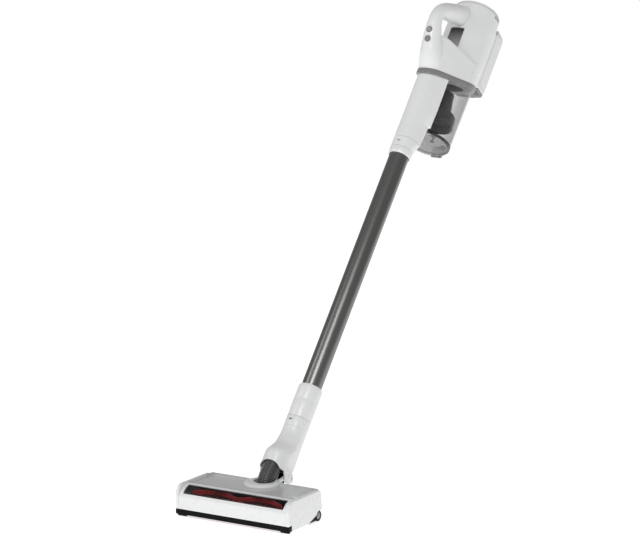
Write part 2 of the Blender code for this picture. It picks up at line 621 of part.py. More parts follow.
def body_shell(mats, frame):
    """White front shell: lower body with the handle loop in one moulding."""
    circles = body_circles()
    wide = [(0.0, 0.0, 28.8), (0.0, 84.0, 54.9)]
    rings = [outline(wide, RING_LEVEL - 3.0, RING_SLOPE), outline(circles, 990.0, 0.2), outline(circles, SEAM_LEVEL - 0.4)]
    obj = make("body_shell", loft(rings), mats["white"], frame)
    join(obj, handle_mesh())
    for y, z in BUTTONS:
        cut(obj, button_disc(y, z, 7.2, -4.4, 9.0))
    below = [(-90.0, RING_LEVEL + GAP - 90.0 * RING_SLOPE), (190.0, RING_LEVEL + GAP + 190.0 * RING_SLOPE),
             (190.0, 800.0), (-90.0, 800.0)]
    cut(obj, prism(below, -90.0, 90.0))
    cut(obj, loft([circle(HOUSING_RADIUS + 0.8, SEAM_LEVEL - 0.2, MOTOR_Y), circle(HOUSING_RADIUS + 0.8, 1300.0, MOTOR_Y)]))
    cut(obj, block((-80.0, SHELL_SPLIT, 900.0), (80.0, 200.0, 1200.0)))
    hollow = [outline([(0.0, 0.0, 25.0), (0.0, 84.0, 51.0)], 940.0, RING_SLOPE),
              outline([(0.0, 0.0, 25.0), (0.0, 84.0, 51.0)], 990.0, 0.2),
              outline([(0.0, 16.0, 20.0), (0.0, 84.0, 50.0)], SEAM_LEVEL - 3.2),
              circle(38.0, SEAM_LEVEL - 3.0, MOTOR_Y), circle(38.0, SEAM_LEVEL + 6.0, MOTOR_Y)]
    cut(obj, loft(hollow))
    return obj


BUTTONS = [(-66.8, 1017.5), (-60.5, 998.5)]
BUTTON_OUT = Vector((0.0, -0.905, -0.425))


def button_disc(y, z, radius, inner, outer, count=SMALL_ROUND):
    """Round disc on the handle's front, from inner to outer along the face's normal."""
    up = Vector((0.0, -BUTTON_OUT.z, BUTTON_OUT.y))
    middle = Vector((0.0, y, z))
    rings = []
    for depth in (inner, outer):
        turns = [2 * math.pi * k / count for k in range(count)]
        rings.append([middle + BUTTON_OUT * depth + Vector((1, 0, 0)) * radius * math.cos(t) + up * radius * math.sin(t)
                      for t in turns])
    return loft(rings)


def buttons(mats, frame):
    for name, (y, z) in zip(("power_button", "mode_button"), BUTTONS):
        make(name, button_disc(y, z, 6.7, -2.4, 1.2), mats["grey"], frame, (0.0, y, z))


def rear_shell(mats, frame):
    """White rear shell: rest of the lower body and the spine that carries the battery."""
    half = BATTERY_HALF_WIDTH
    low = [(0.0, 84.0, 54.9), (-half + 13, 126.0, 13.0), (half - 13, 126.0, 13.0)]
    mid = [(0.0, 84.0, 54.5), (-half + 13, 126.0, 13.0), (half - 13, 126.0, 13.0)]
    rings = [outline(low, RING_LEVEL + GAP, RING_SLOPE), outline(mid, SEAM_LEVEL - 0.4)]
    obj = make("rear_shell", loft(rings), mats["white"], frame)
    join(obj, block((-half, 100.0, 1010.0), (half, 150.0, 1146.0)))
    cut(obj, loft([circle(HOUSING_RADIUS + 0.5, SEAM_LEVEL - 0.2, MOTOR_Y), circle(HOUSING_RADIUS + 0.5, 1300.0, MOTOR_Y)]))
    cut(obj, block((-80.0, -50.0, 900.0), (80.0, SHELL_SPLIT + GAP, 1200.0)))
    cut(obj, block((-80.0, DOCK_BACK, 900.0), (80.0, 220.0, 1200.0)))
    hollow = [outline([(0.0, 84.0, 51.0)], 940.0, RING_SLOPE), outline([(0.0, 84.0, 51.0)], SEAM_LEVEL - 3.2),
              circle(38.0, SEAM_LEVEL - 3.0, MOTOR_Y), circle(38.0, SEAM_LEVEL + 6.0, MOTOR_Y)]
    cut(obj, loft(hollow))
    return obj


def motor_parts(mats, frame):
    top_in, low_in = HOUSING_TOP_RADIUS - SHELL, HOUSING_RADIUS - SHELL
    rings = [circle(HOUSING_RADIUS, SEAM_LEVEL, MOTOR_Y), circle(HOUSING_RADIUS, 1120.0, MOTOR_Y),
             circle(HOUSING_TOP_RADIUS, HOUSING_TOP, MOTOR_Y), circle(top_in, HOUSING_TOP, MOTOR_Y),
             circle(low_in, 1120.0, MOTOR_Y), circle(low_in, SEAM_LEVEL, MOTOR_Y)]
    obj = make("motor_housing", loft(rings, cyclic=True), mats["white"], frame)
    for side in (-1, 1):
        vent = block((side * 60.0 if side < 0 else 30.0, MOTOR_Y + 8.0, 1146.0), (side * 30.0 if side < 0 else 60.0, MOTOR_Y + 30.0, 1153.0))
        cut(obj, vent)
    top = HOUSING_TOP + GAP
    dome = [(HOUSING_TOP_RADIUS, 0.0), (50.8, 2.6), (48.6, 5.4), (44.0, 7.6), (36.0, 8.9), (10.0, 9.7)]
    under = [(48.8, -1.4), (48.4, 0.0), (47.0, 3.4), (43.0, 5.3), (35.0, 6.6), (10.0, 7.3)]
    cap = make("exhaust_cap", loft([circle(r, top + z, MOTOR_Y) for r, z in dome]), mats["white"], frame,
               (0.0, MOTOR_Y, HOUSING_TOP))
    cut(cap, loft([circle(r, top + z, MOTOR_Y) for r, z in under]))
    filt = [circle(44.0, 1128.0, MOTOR_Y), circle(44.0, 1156.0, MOTOR_Y), circle(26.0, 1156.0, MOTOR_Y), circle(26.0, 1128.0, MOTOR_Y)]
    make("exhaust_filter", loft(filt, cyclic=True), mats["foam"], frame)
    motor = [circle(20.0, 1046.0, MOTOR_Y), circle(39.0, 1048.0, MOTOR_Y), circle(39.0, 1070.0, MOTOR_Y),
             circle(30.0, 1074.0, MOTOR_Y), circle(30.0, 1104.0, MOTOR_Y), circle(12.0, 1108.0, MOTOR_Y)]
    make("suction_motor", loft(motor), mats["steel"], frame)
    fan = [circle(10.0, 1029.0, MOTOR_Y), circle(16.0, 1034.0, MOTOR_Y), circle(36.5, 1038.0, MOTOR_Y), circle(36.5, 1043.0, MOTOR_Y),
           circle(4.0, 1043.0, MOTOR_Y), circle(4.0, 1045.6, MOTOR_Y)]
    make("fan_impeller", loft(fan), mats["alloy"], frame, (0.0, MOTOR_Y, 1036.0))


def grip_panel(mats, frame):
    spread = math.radians(17.0)
    steps = 6
    turns = [-math.pi / 2 - spread + 2 * spread * i / steps for i in range(steps + 1)]
    inner = [(53.3 * math.cos(t), MOTOR_Y + 53.3 * math.sin(t)) for t in turns]
    outer = [(54.4 * math.cos(t), MOTOR_Y + 54.4 * math.sin(t)) for t in turns]
    section = inner + outer[::-1]
    make("grip_panel", prism(section, SEAM_LEVEL + 0.5, 1092.0, "Z"), mats["grey"], frame)


def bin_parts(mats, frame):
    under = RING_LEVEL - RING_HEIGHT - GAP
    inner, low = BIN_RADIUS - BIN_WALL, BIN_LOW_RADIUS
    wall = [circle(low, LID_TOP + GAP, BIN_Y), circle(BIN_RADIUS, under, BIN_Y, RING_SLOPE),
            circle(inner, under, BIN_Y, RING_SLOPE), circle(low - BIN_WALL, LID_TOP + GAP, BIN_Y)]
    make("dust_bin", loft(wall, cyclic=True), mats["clear"], frame)
    lid = [circle(49.0, LID_BOTTOM, BIN_Y), circle(49.8, LID_BOTTOM + 0.8, BIN_Y), circle(50.0, LID_TOP, BIN_Y),
           circle(47.0, LID_TOP, BIN_Y), circle(46.8, LID_BOTTOM + 2.4, BIN_Y)]
    lid_obj = make("bin_lid", loft(lid), mats["lid"], frame, (0.0, HINGE_Y, HINGE_Z))
    join(lid_obj, block((-6.0, 129.0, HINGE_Z - 2.6), (6.0, HINGE_Y, HINGE_Z + 2.2)))
    join(lid_obj, barrel(-6.0, 6.0, 3.0))
    cut(lid_obj, barrel(-20.0, 20.0, 1.5))
    make("lid_pin", barrel(-11.5, 11.5, 1.2), mats["steel"], frame)
    bracket = make("hinge_bracket", block((-12.0, 129.0, 834.6), (12.0, 138.6, 852.0)), mats["lid"], frame)
    for side in (-1, 1):
        x = sorted((side * 6.5, side * 12.0))
        join(bracket, block((x[0], HINGE_Y - 2.9, HINGE_Z), (x[1], HINGE_Y + 2.8, 836.0)))
        join(bracket, barrel(x[0], x[1], 3.0))
    cut(bracket, barrel(-20.0, 20.0, 1.5))
    clear = BIN_RADIUS + GAP
    cut(bracket, loft([circle(clear - 1.3, 800.0, BIN_Y), circle(clear - 1.3, 836.0, BIN_Y), circle(clear, 950.0, BIN_Y)]))
    make("lid_latch", block((-9.0, 27.2, 824.0), (9.0, 30.4, 838.0)), mats["black"], frame, (0.0, 27.2, 831.0))
    cyclone = [(20.4, 954.0), (26.5, 913.0), (37.3, 903.5), (40.2, 899.0), (40.9, 877.0), (39.0, 877.0), (38.4, 898.0),
               (36.0, 901.4), (24.6, 911.0), (18.4, 954.0)]
    make("cyclone_tube", loft([circle(r, z, BIN_Y) for r, z in cyclone], cyclic=True), mats["dark"], frame)
    mesh = [(17.4, 943.0), (17.4, 900.0), (15.4, 900.0), (15.4, 943.0)]
    make("mesh_filter", loft([circle(r, z, BIN_Y) for r, z in mesh], cyclic=True), mats["steel"], frame)


def barrel(x0, x1, radius):
    return loft(turned_x([(x0, radius), (x1, radius)], HINGE_Y, HINGE_Z, 16))


def battery(mats, frame):
    half, front = BATTERY_HALF_WIDTH, DOCK_BACK + 0.5

    def shape(level, inset=0.0):
        corners = [(-half + 13 , BATTERY_BACK - 13, 13 - inset), (half - 13, BATTERY_BACK - 13, 13 - inset),
                   (-half + 3, front + 3, 3 - min(inset, 2.8)), (half - 3, front + 3, 3 - min(inset, 2.8))]
        return outline(corners, level)
    shell = [shape(BATTERY_BOTTOM), shape(1147.0), shape(1155.0, 1.8), shape(BATTERY_TOP, 5.6)]
    obj = make("battery_case", loft(shell), mats["white"], frame, (0.0, 160.0, BATTERY_BOTTOM))
    cut(obj, loft([circle(HOUSING_RADIUS + 1.4, 980.0, MOTOR_Y), circle(HOUSING_RADIUS + 1.4, 1190.0, MOTOR_Y)]))
    cut(obj, block((-half + 2.4, front + 4.6, BATTERY_BOTTOM - 5.0), (half - 2.4, BATTERY_BACK - 4.0, 1155.5)))
    index = 1
    for column in (-1, 0, 1):
        x, y = column * (2 * CELL_RADIUS + 0.6), front + 5.2 + CELL_RADIUS
        ends = [outline([(x, y, CELL_RADIUS)], level, count=16) for level in (1025.0, 1025.0 + 2 * CELL_LENGTH)]
        make("battery_cell_%d" % index, loft(ends), mats["cell"], frame)
        index += 1
    foot = [shape(1008.6, 4.0), shape(1011.6, 1.8), shape(BATTERY_BOTTOM - 0.4, 1.0)]
    foot_obj = make("battery_foot", loft(foot), mats["trim"], frame)
    cut(foot_obj, block((-12.3, 156.0, 1004.0), (12.3, 190.0, 1018.3)))
    make("battery_release", block((-12.0, 160.0, 1009.4), (12.0, 180.6, 1018.0)), mats["grey"], frame,
         (0.0, 181.0, 1014.5))


def boards(mats, frame):
    make("main_board", block((-17.0, 6.0, 1000.0), (17.0, 38.0, 1001.6)), mats["green"], frame)


# ---------------------------------------------------------------- build

def main():
    clear_scene()
    mats = {
        "white": material("white_plastic", WHITE, 0.25),
        "trim": material("trim_plastic", GREY, 0.4),
        "grey": material("grey_plastic", MID_GREY, 0.45),
        "mid": material("hub_plastic", MID_GREY, 0.5),
        "dark": material("dark_plastic", GREY, 0.5),
        "black": material("black_plastic", BLACK, 0.45),
        "rubber": material("rubber", BLACK, 0.8),
        "window": material("smoked_window", BLACK, 0.08, 0.0, 0.4),
        "clear": material("clear_plastic", CLEAR, 0.06, 0.0, 0.35),
        "lid": material("tinted_plastic", MID_GREY, 0.2, 0.0, 0.7),
        "red": material("red_bristle", RED, 0.8),
        "steel": material("steel", STEEL, 0.3, 1.0),
        "alloy": material("anodised_alloy", ALLOY, 0.35, 1.0),
        "green": material("circuit_board", GREEN, 0.5),
        "cell": material("cell_wrap", CELL_BLUE, 0.4),
        "foam": material("filter_foam", FOAM, 0.9),
    }
    frame = bpy.data.objects.new("wand_frame", None)
    bpy.context.scene.collection.objects.link(frame)
    frame.location = (0.0, AXIS_Y * MM, AXIS_Z * MM)
    frame.rotation_euler = (-LEAN, 0.0, 0.0)

    brush_cover(mats)
    brush_window(mats)
    tray_housing(mats)
    side_cap("side_cap_left", -1, mats)
    side_cap("side_cap_right", 1, mats)
    base_plate(mats)
    brush_chamber(mats)
    suction_duct(mats)
    brush_parts(mats)
    drive_parts(mats)
    wheels(mats)
    cap_latch(mats)
    swivel_collar(mats)
    neck(mats, frame)
    flex_hose(mats, frame)
    wand(mats, frame)
    tube_housing(mats, frame)
    trim_ring(mats, frame)
    body_shell(mats, frame)
    rear_shell(mats, frame)
    buttons(mats, frame)
    motor_parts(mats, frame)
    grip_panel(mats, frame)
    bin_parts(mats, frame)
    battery(mats, frame)
    boards(mats, frame)


main()
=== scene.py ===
import math
import random

import bmesh
import bpy
from mathutils import Matrix, Vector


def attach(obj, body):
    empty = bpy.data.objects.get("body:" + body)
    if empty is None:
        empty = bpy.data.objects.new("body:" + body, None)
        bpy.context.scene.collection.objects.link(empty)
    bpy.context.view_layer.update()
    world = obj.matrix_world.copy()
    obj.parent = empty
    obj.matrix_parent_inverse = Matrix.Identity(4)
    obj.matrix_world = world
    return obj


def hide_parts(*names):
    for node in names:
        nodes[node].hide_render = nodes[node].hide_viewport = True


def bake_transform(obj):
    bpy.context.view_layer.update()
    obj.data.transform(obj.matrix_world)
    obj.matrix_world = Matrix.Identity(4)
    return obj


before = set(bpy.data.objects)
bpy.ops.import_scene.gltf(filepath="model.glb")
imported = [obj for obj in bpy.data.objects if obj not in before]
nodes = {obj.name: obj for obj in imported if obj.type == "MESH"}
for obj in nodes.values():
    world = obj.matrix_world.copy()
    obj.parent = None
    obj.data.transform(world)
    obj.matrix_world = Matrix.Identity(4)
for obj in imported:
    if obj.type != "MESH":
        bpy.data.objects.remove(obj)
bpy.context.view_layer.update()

random.seed(7)

# Lengths are millimetres. Pieces of the wand are made standing along +Z, then leaned into place.
mm = 0.001
lean = math.radians(39.9)
wandFoot = (0.0, 0.080, 0.0608)
standing = Matrix.Scale(mm, 4)
leaning = Matrix.Translation(wandFoot) @ Matrix.Rotation(-lean, 4, "X") @ Matrix.Scale(mm, 4)


# making shapes

def through(points, steps):
    # smooth run through the points, paced by the distance between them
    points = [Vector(point) for point in points]
    last = len(points) - 1
    knots = [0.0]
    for before, after in zip(points, points[1:]):
        knots.append(knots[-1] + max((after - before).length, 0.001))
    slopes = []
    for i in range(last + 1):
        low, high = max(i - 1, 0), min(i + 1, last)
        slopes.append((points[high] - points[low]) / (knots[high] - knots[low]))
    run = []
    for i in range(last):
        span = knots[i + 1] - knots[i]
        for k in range(steps):
            t = k / steps
            run.append(points[i] * (2 * t**3 - 3 * t**2 + 1) + slopes[i] * span * (t**3 - 2 * t**2 + t)
                       + points[i + 1] * (3 * t**2 - 2 * t**3) + slopes[i + 1] * span * (t**3 - t**2))
    return run + [points[-1]]


def eased(points, radius, steps=4, closed=False):
    # polyline with its corners rounded
    points = [Vector(point) for point in points]
    run = []
    for i, point in enumerate(points):
        if not closed and i in (0, len(points) - 1):
            run.append(point)
            continue
        back, on = points[i - 1] - point, points[(i + 1) % len(points)] - point
        reach = min(radius, back.length * 0.48, on.length * 0.48)
        start, end = point + back.normalized() * reach, point + on.normalized() * reach
        for k in range(steps + 1):
            t = k / steps
            run.append(start * (1 - t)**2 + point * 2 * t * (1 - t) + end * t**2)
    return run


def band(circles, level, slope=0.0, grow=0.0, turns=96):
    # taut band round circles (x, y, radius); its level may rise along y
    ring = []
    for i in range(turns):
        turn = 2 * math.pi * (i + 0.5) / turns
        ux, uy = math.cos(turn), math.sin(turn)
        x, y, radius = max(circles, key=lambda c: c[0] * ux + c[1] * uy + c[2])
        px, py = x + (radius + grow) * ux, y + (radius + grow) * uy
        ring.append(Vector((px, py, level + slope * py)))
    return ring


def pulled(bm, edges):
    # edges pulled into new faces: what grew, its new verts and its new edges
    grown = bmesh.ops.extrude_edge_only(bm, edges=edges)["geom"]
    fresh = [item for item in grown if isinstance(item, bmesh.types.BMVert)]
    kept = set(fresh)
    return grown, fresh, [item for item in grown if isinstance(item, bmesh.types.BMEdge) and set(item.verts) <= kept]


def skin(rings, joined=False):
    # one loop of edges, pulled from ring to ring
    bm = bmesh.new()
    tag = bm.verts.layers.int.new("turn")
    for i, vert in enumerate(bmesh.ops.create_circle(bm, cap_ends=False, radius=1.0, segments=len(rings[0]))["verts"]):
        vert[tag] = i
        vert.co = rings[0][i]
    first = loop = list(bm.edges)
    for ring in rings[1:]:
        grown, fresh, loop = pulled(bm, loop)
        for vert in fresh:
            vert.co = ring[vert[tag]]
    if joined:
        bmesh.ops.bridge_loops(bm, edges=first + loop)
    else:
        bmesh.ops.holes_fill(bm, edges=first + loop, sides=0)
    bm.verts.layers.int.remove(bm.verts.layers.int["turn"])
    bmesh.ops.recalc_face_normals(bm, faces=bm.faces)
    return bm


def bandSkin(circles, profile, slope=0.0, turns=96):
    # rings of one band, from (grow, level) pairs
    return skin([band(circles, level, slope, grow, turns) for grow, level in profile])


def spun(profile, centre=(0.0, 0.0, 0.0), along="Z", turns=96, closed=True):
    # profile of (radius, height) pairs about Z, or (x, radius) pairs about X
    bm = bmesh.new()
    if along == "Z":
        spots = [(centre[0], centre[1] + radius, height) for radius, height in profile]
    else:
        spots = [(x, centre[1] + radius, centre[2]) for x, radius in profile]
    verts = [bm.verts.new(spot) for spot in spots]
    pairs = list(zip(verts, verts[1:])) + ([(verts[-1], verts[0])] if closed else [])
    edges = [bm.edges.new(pair) for pair in pairs]
    axis = (0, 0, 1) if along == "Z" else (1, 0, 0)
    bmesh.ops.spin(bm, geom=verts + edges, cent=centre, axis=axis, dvec=(0, 0, 0), angle=2 * math.pi, steps=turns,
                   use_merge=True, use_duplicate=False)
    bmesh.ops.remove_doubles(bm, verts=bm.verts, dist=0.001)
    bmesh.ops.dissolve_degenerate(bm, edges=bm.edges, dist=0.0005)
    bmesh.ops.recalc_face_normals(bm, faces=bm.faces)
    return bm


def slab(points, start, end, along="X"):
    # flat outline pushed along an axis: (y, z), (x, z) or (x, y) pairs
    bm = bmesh.new()
    order = {"X": lambda a, b: (start, a, b), "Y": lambda a, b: (a, start, b), "Z": lambda a, b: (a, b, start)}[along]
    face = bm.faces.new([bm.verts.new(order(a, b)) for a, b in points])
    grown = bmesh.ops.extrude_face_region(bm, geom=[face])["geom"]
    push = {"X": (end - start, 0, 0), "Y": (0, end - start, 0), "Z": (0, 0, end - start)}[along]
    bmesh.ops.translate(bm, vec=push, verts=[item for item in grown if isinstance(item, bmesh.types.BMVert)])
    bmesh.ops.recalc_face_normals(bm, faces=bm.faces)
    return bm


def block(low, high, edge=0.0):
    bm = bmesh.new()
    bmesh.ops.create_cube(bm, size=1.0)
    low, high = Vector(low), Vector(high)
    size, middle = high - low, (high + low) / 2
    bmesh.ops.transform(bm, matrix=Matrix.Translation(middle) @ Matrix.Diagonal((*size, 1.0)), verts=bm.verts)
    if edge:
        bmesh.ops.bevel(bm, geom=list(bm.edges), offset=edge, offset_type="OFFSET", segments=3, profile=0.5,
                        affect="EDGES", clamp_overlap=True, material=-1)
    return bm


def sweep(route, sides=64):
    # rings square to a route in the plane of y and z, from (y, z, halfX, halfY)
    rings, last = [], len(route) - 1
    for i, (y, z, halfX, halfY) in enumerate(route):
        before, after = route[max(i - 1, 0)], route[min(i + 1, last)]
        dy, dz = after[0] - before[0], after[1] - before[1]
        size = math.hypot(dy, dz)
        across = Vector((0.0, dz / size, -dy / size))
        turns = [2 * math.pi * (k + 0.5) / sides for k in range(sides)]
        rings.append([Vector((halfX * math.cos(t), y, z)) + across * halfY * math.sin(t) for t in turns])
    return skin(rings)


def merged(*parts):
    # several closed shapes in one mesh
    whole = bmesh.new()
    for part in parts:
        mesh = bpy.data.meshes.new("part")
        part.to_mesh(mesh)
        part.free()
        whole.from_mesh(mesh)
        bpy.data.meshes.remove(mesh)
    return whole


# placing pieces

def rawObject(name, bm, place):
    bmesh.ops.transform(bm, matrix=place, verts=bm.verts)
    mesh = bpy.data.meshes.new(name)
    bm.to_mesh(mesh)
    bm.free()
    obj = bpy.data.objects.new(name, mesh)
    bpy.context.scene.collection.objects.link(obj)
    return obj


def settle(obj):
    # modifiers become the mesh
    graph = bpy.context.evaluated_depsgraph_get()
    done = bpy.data.meshes.new_from_object(obj.evaluated_get(graph))
    old = obj.data
    obj.modifiers.clear()
    obj.data = done
    bpy.data.meshes.remove(old)


def carve(obj, steps, place):
    # a bare shape is cut away, and ("UNION", shape) is added
    helpers = []
    for entry in steps:
        operation, bm = entry if isinstance(entry, tuple) else ("DIFFERENCE", entry)
        helper = rawObject("helper", bm, place)
        step = obj.modifiers.new("step", "BOOLEAN")
        step.operation = operation
        step.solver = "MANIFOLD"
        step.object = helper
        helpers.append(helper)
    settle(obj)
    for helper in helpers:
        bpy.data.meshes.remove(helper.data)
    if not obj.data.polygons:
        raise RuntimeError("nothing left of " + obj.name)


def cleaned(obj, closest=0.00002):
    bm = bmesh.new()
    bm.from_mesh(obj.data)
    bmesh.ops.remove_doubles(bm, verts=bm.verts, dist=closest)
    bmesh.ops.dissolve_degenerate(bm, edges=bm.edges, dist=closest)
    bm.to_mesh(obj.data)
    bm.free()


def addPiece(name, bm, place, finish, body, replaces=(), steps=(), bevel=0.0, angle=35.0, wall=0.0):
    obj = rawObject(name, bm, place)
    if wall:
        shell = obj.modifiers.new("wall", "SOLIDIFY")
        shell.thickness = wall * mm
        shell.offset = -1.0
        shell.use_even_offset = True
        settle(obj)
    if steps:
        carve(obj, steps, place)
    if bevel:
        cleaned(obj)
        edge = obj.modifiers.new("edge", "BEVEL")
        edge.width = bevel * mm
        edge.segments = 3
        edge.limit_method = "ANGLE"
        edge.angle_limit = math.radians(angle)
        edge.miter_outer = "MITER_ARC"
        edge.use_clamp_overlap = True
        settle(obj)
    obj.data.materials.clear()
    obj.data.materials.append(materials[finish])
    obj.data.shade_smooth()
    obj.data.set_sharp_from_angle(angle=math.radians(angle))
    if bevel:
        shade = obj.modifiers.new("shade", "WEIGHTED_NORMAL")
        shade.keep_sharp = True
    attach(obj, body)
    if replaces:
        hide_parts(*replaces)
    return obj


def dressNode(name, finish, bevel=0.0):
    # a CAD part whose shape is right gets its finish, and soft edges by modifiers
    obj = nodes[name]
    if obj.data.materials:
        obj.data.materials[0] = materials[finish]
    else:
        obj.data.materials.append(materials[finish])
    if bevel:
        weld = obj.modifiers.new("weld", "WELD")
        weld.merge_threshold = 0.00002
        edge = obj.modifiers.new("edge", "BEVEL")
        edge.width = bevel * mm
        edge.segments = 2
        edge.limit_method = "ANGLE"
        edge.angle_limit = math.radians(38)


# finishes

def makeFinish(name, look):
    mat = bpy.data.materials.new(name)
    mat.use_nodes = True
    tree = mat.node_tree
    shader = tree.nodes["Principled BSDF"]
    shader.inputs["Metallic"].default_value = look.get("metal", 0.0)
    shader.inputs["Coat Weight"].default_value = look.get("coat", 0.0)
    shader.inputs["Coat Roughness"].default_value = look.get("coatRough", 0.12)
    shader.inputs["IOR"].default_value = look.get("ior", 1.48)
    shader.inputs["Sheen Weight"].default_value = look.get("sheen", 0.0)
    shader.inputs["Specular IOR Level"].default_value = look.get("shine", 0.5)
    spots = tree.nodes.new("ShaderNodeTexCoord")
    place = tree.nodes.new("ShaderNodeMapping")
    place.vector_type = "TEXTURE"
    if look.get("wand", True):
        place.inputs["Location"].default_value = wandFoot
        place.inputs["Rotation"].default_value = (-lean, 0.0, 0.0)
    place.inputs["Scale"].default_value = look.get("stretch", (1.0, 1.0, 1.0))
    tree.links.new(spots.outputs["Object"], place.inputs["Vector"])

    def cloud(scale, detail, roughness=0.5):
        node = tree.nodes.new("ShaderNodeTexNoise")
        node.inputs["Scale"].default_value = scale
        node.inputs["Detail"].default_value = detail
        node.inputs["Roughness"].default_value = roughness
        tree.links.new(place.outputs["Vector"], node.inputs["Vector"])
        return node.outputs["Fac"]

    def ranged(value, low, high, start=0.3, end=0.7):
        node = tree.nodes.new("ShaderNodeMapRange")
        node.inputs["From Min"].default_value = start
        node.inputs["From Max"].default_value = end
        node.inputs["To Min"].default_value = low
        node.inputs["To Max"].default_value = high
        tree.links.new(value, node.inputs["Value"])
        return node.outputs["Result"]

    def blended(factor, one, two):
        node = tree.nodes.new("ShaderNodeMix")
        node.data_type = "RGBA"
        for socket, colour in ((node.inputs[6], one), (node.inputs[7], two)):
            if isinstance(colour, tuple):
                socket.default_value = (*colour, 1.0)
            else:
                tree.links.new(colour, socket)
        tree.links.new(factor, node.inputs[0])
        return node.outputs[2]

    colour = blended(ranged(cloud(look.get("cloud", 24.0), 3.0), 0.0, 1.0), look["colour"], look["second"])
    if "reflectionFade" in look:                                # painted reflection: the colour blends into a lighter one towards the low end of a span along the wand
        split = tree.nodes.new("ShaderNodeSeparateXYZ")
        tree.links.new(place.outputs["Vector"], split.inputs["Vector"])
        low, high, reflectionColour = look["reflectionFade"]
        colour = blended(ranged(split.outputs["Z"], 1.0, 0.0, low, high), colour, reflectionColour)
    if "speck" in look:
        colour = blended(ranged(cloud(look["grain"], 2.0), 0.0, look.get("speckShare", 0.6), 0.55, 0.75), colour, look["speck"])
    tree.links.new(colour, shader.inputs["Base Color"])
    rough = look["rough"]
    spread = look.get("spread", 0.04)
    tree.links.new(ranged(cloud(look.get("smudge", 70.0), 4.0, 0.6), rough - spread, rough + spread), shader.inputs["Roughness"])
    bump = tree.nodes.new("ShaderNodeBump")
    bump.inputs["Strength"].default_value = look.get("bump", 0.1)
    bump.inputs["Distance"].default_value = look.get("depth", 0.00004)
    if "weave" in look:
        wave = tree.nodes.new("ShaderNodeTexVoronoi")
        wave.inputs["Scale"].default_value = look["weave"]
        tree.links.new(place.outputs["Vector"], wave.inputs["Vector"])
        tree.links.new(wave.outputs["Distance"], bump.inputs["Height"])
    else:
        tree.links.new(cloud(look.get("grain", 1400.0), 2.0), bump.inputs["Height"])
    tree.links.new(bump.outputs["Normal"], shader.inputs["Normal"])
    if "clear" in look:                               # share seen through, face on and at the rim
        facing = tree.nodes.new("ShaderNodeLayerWeight")
        facing.inputs["Blend"].default_value = 0.32
        faceOn, rim = look["clear"]
        tree.links.new(ranged(facing.outputs["Facing"], faceOn, rim, 0.05, 0.95), shader.inputs["Alpha"])
        mat.surface_render_method = "BLENDED"
    return mat


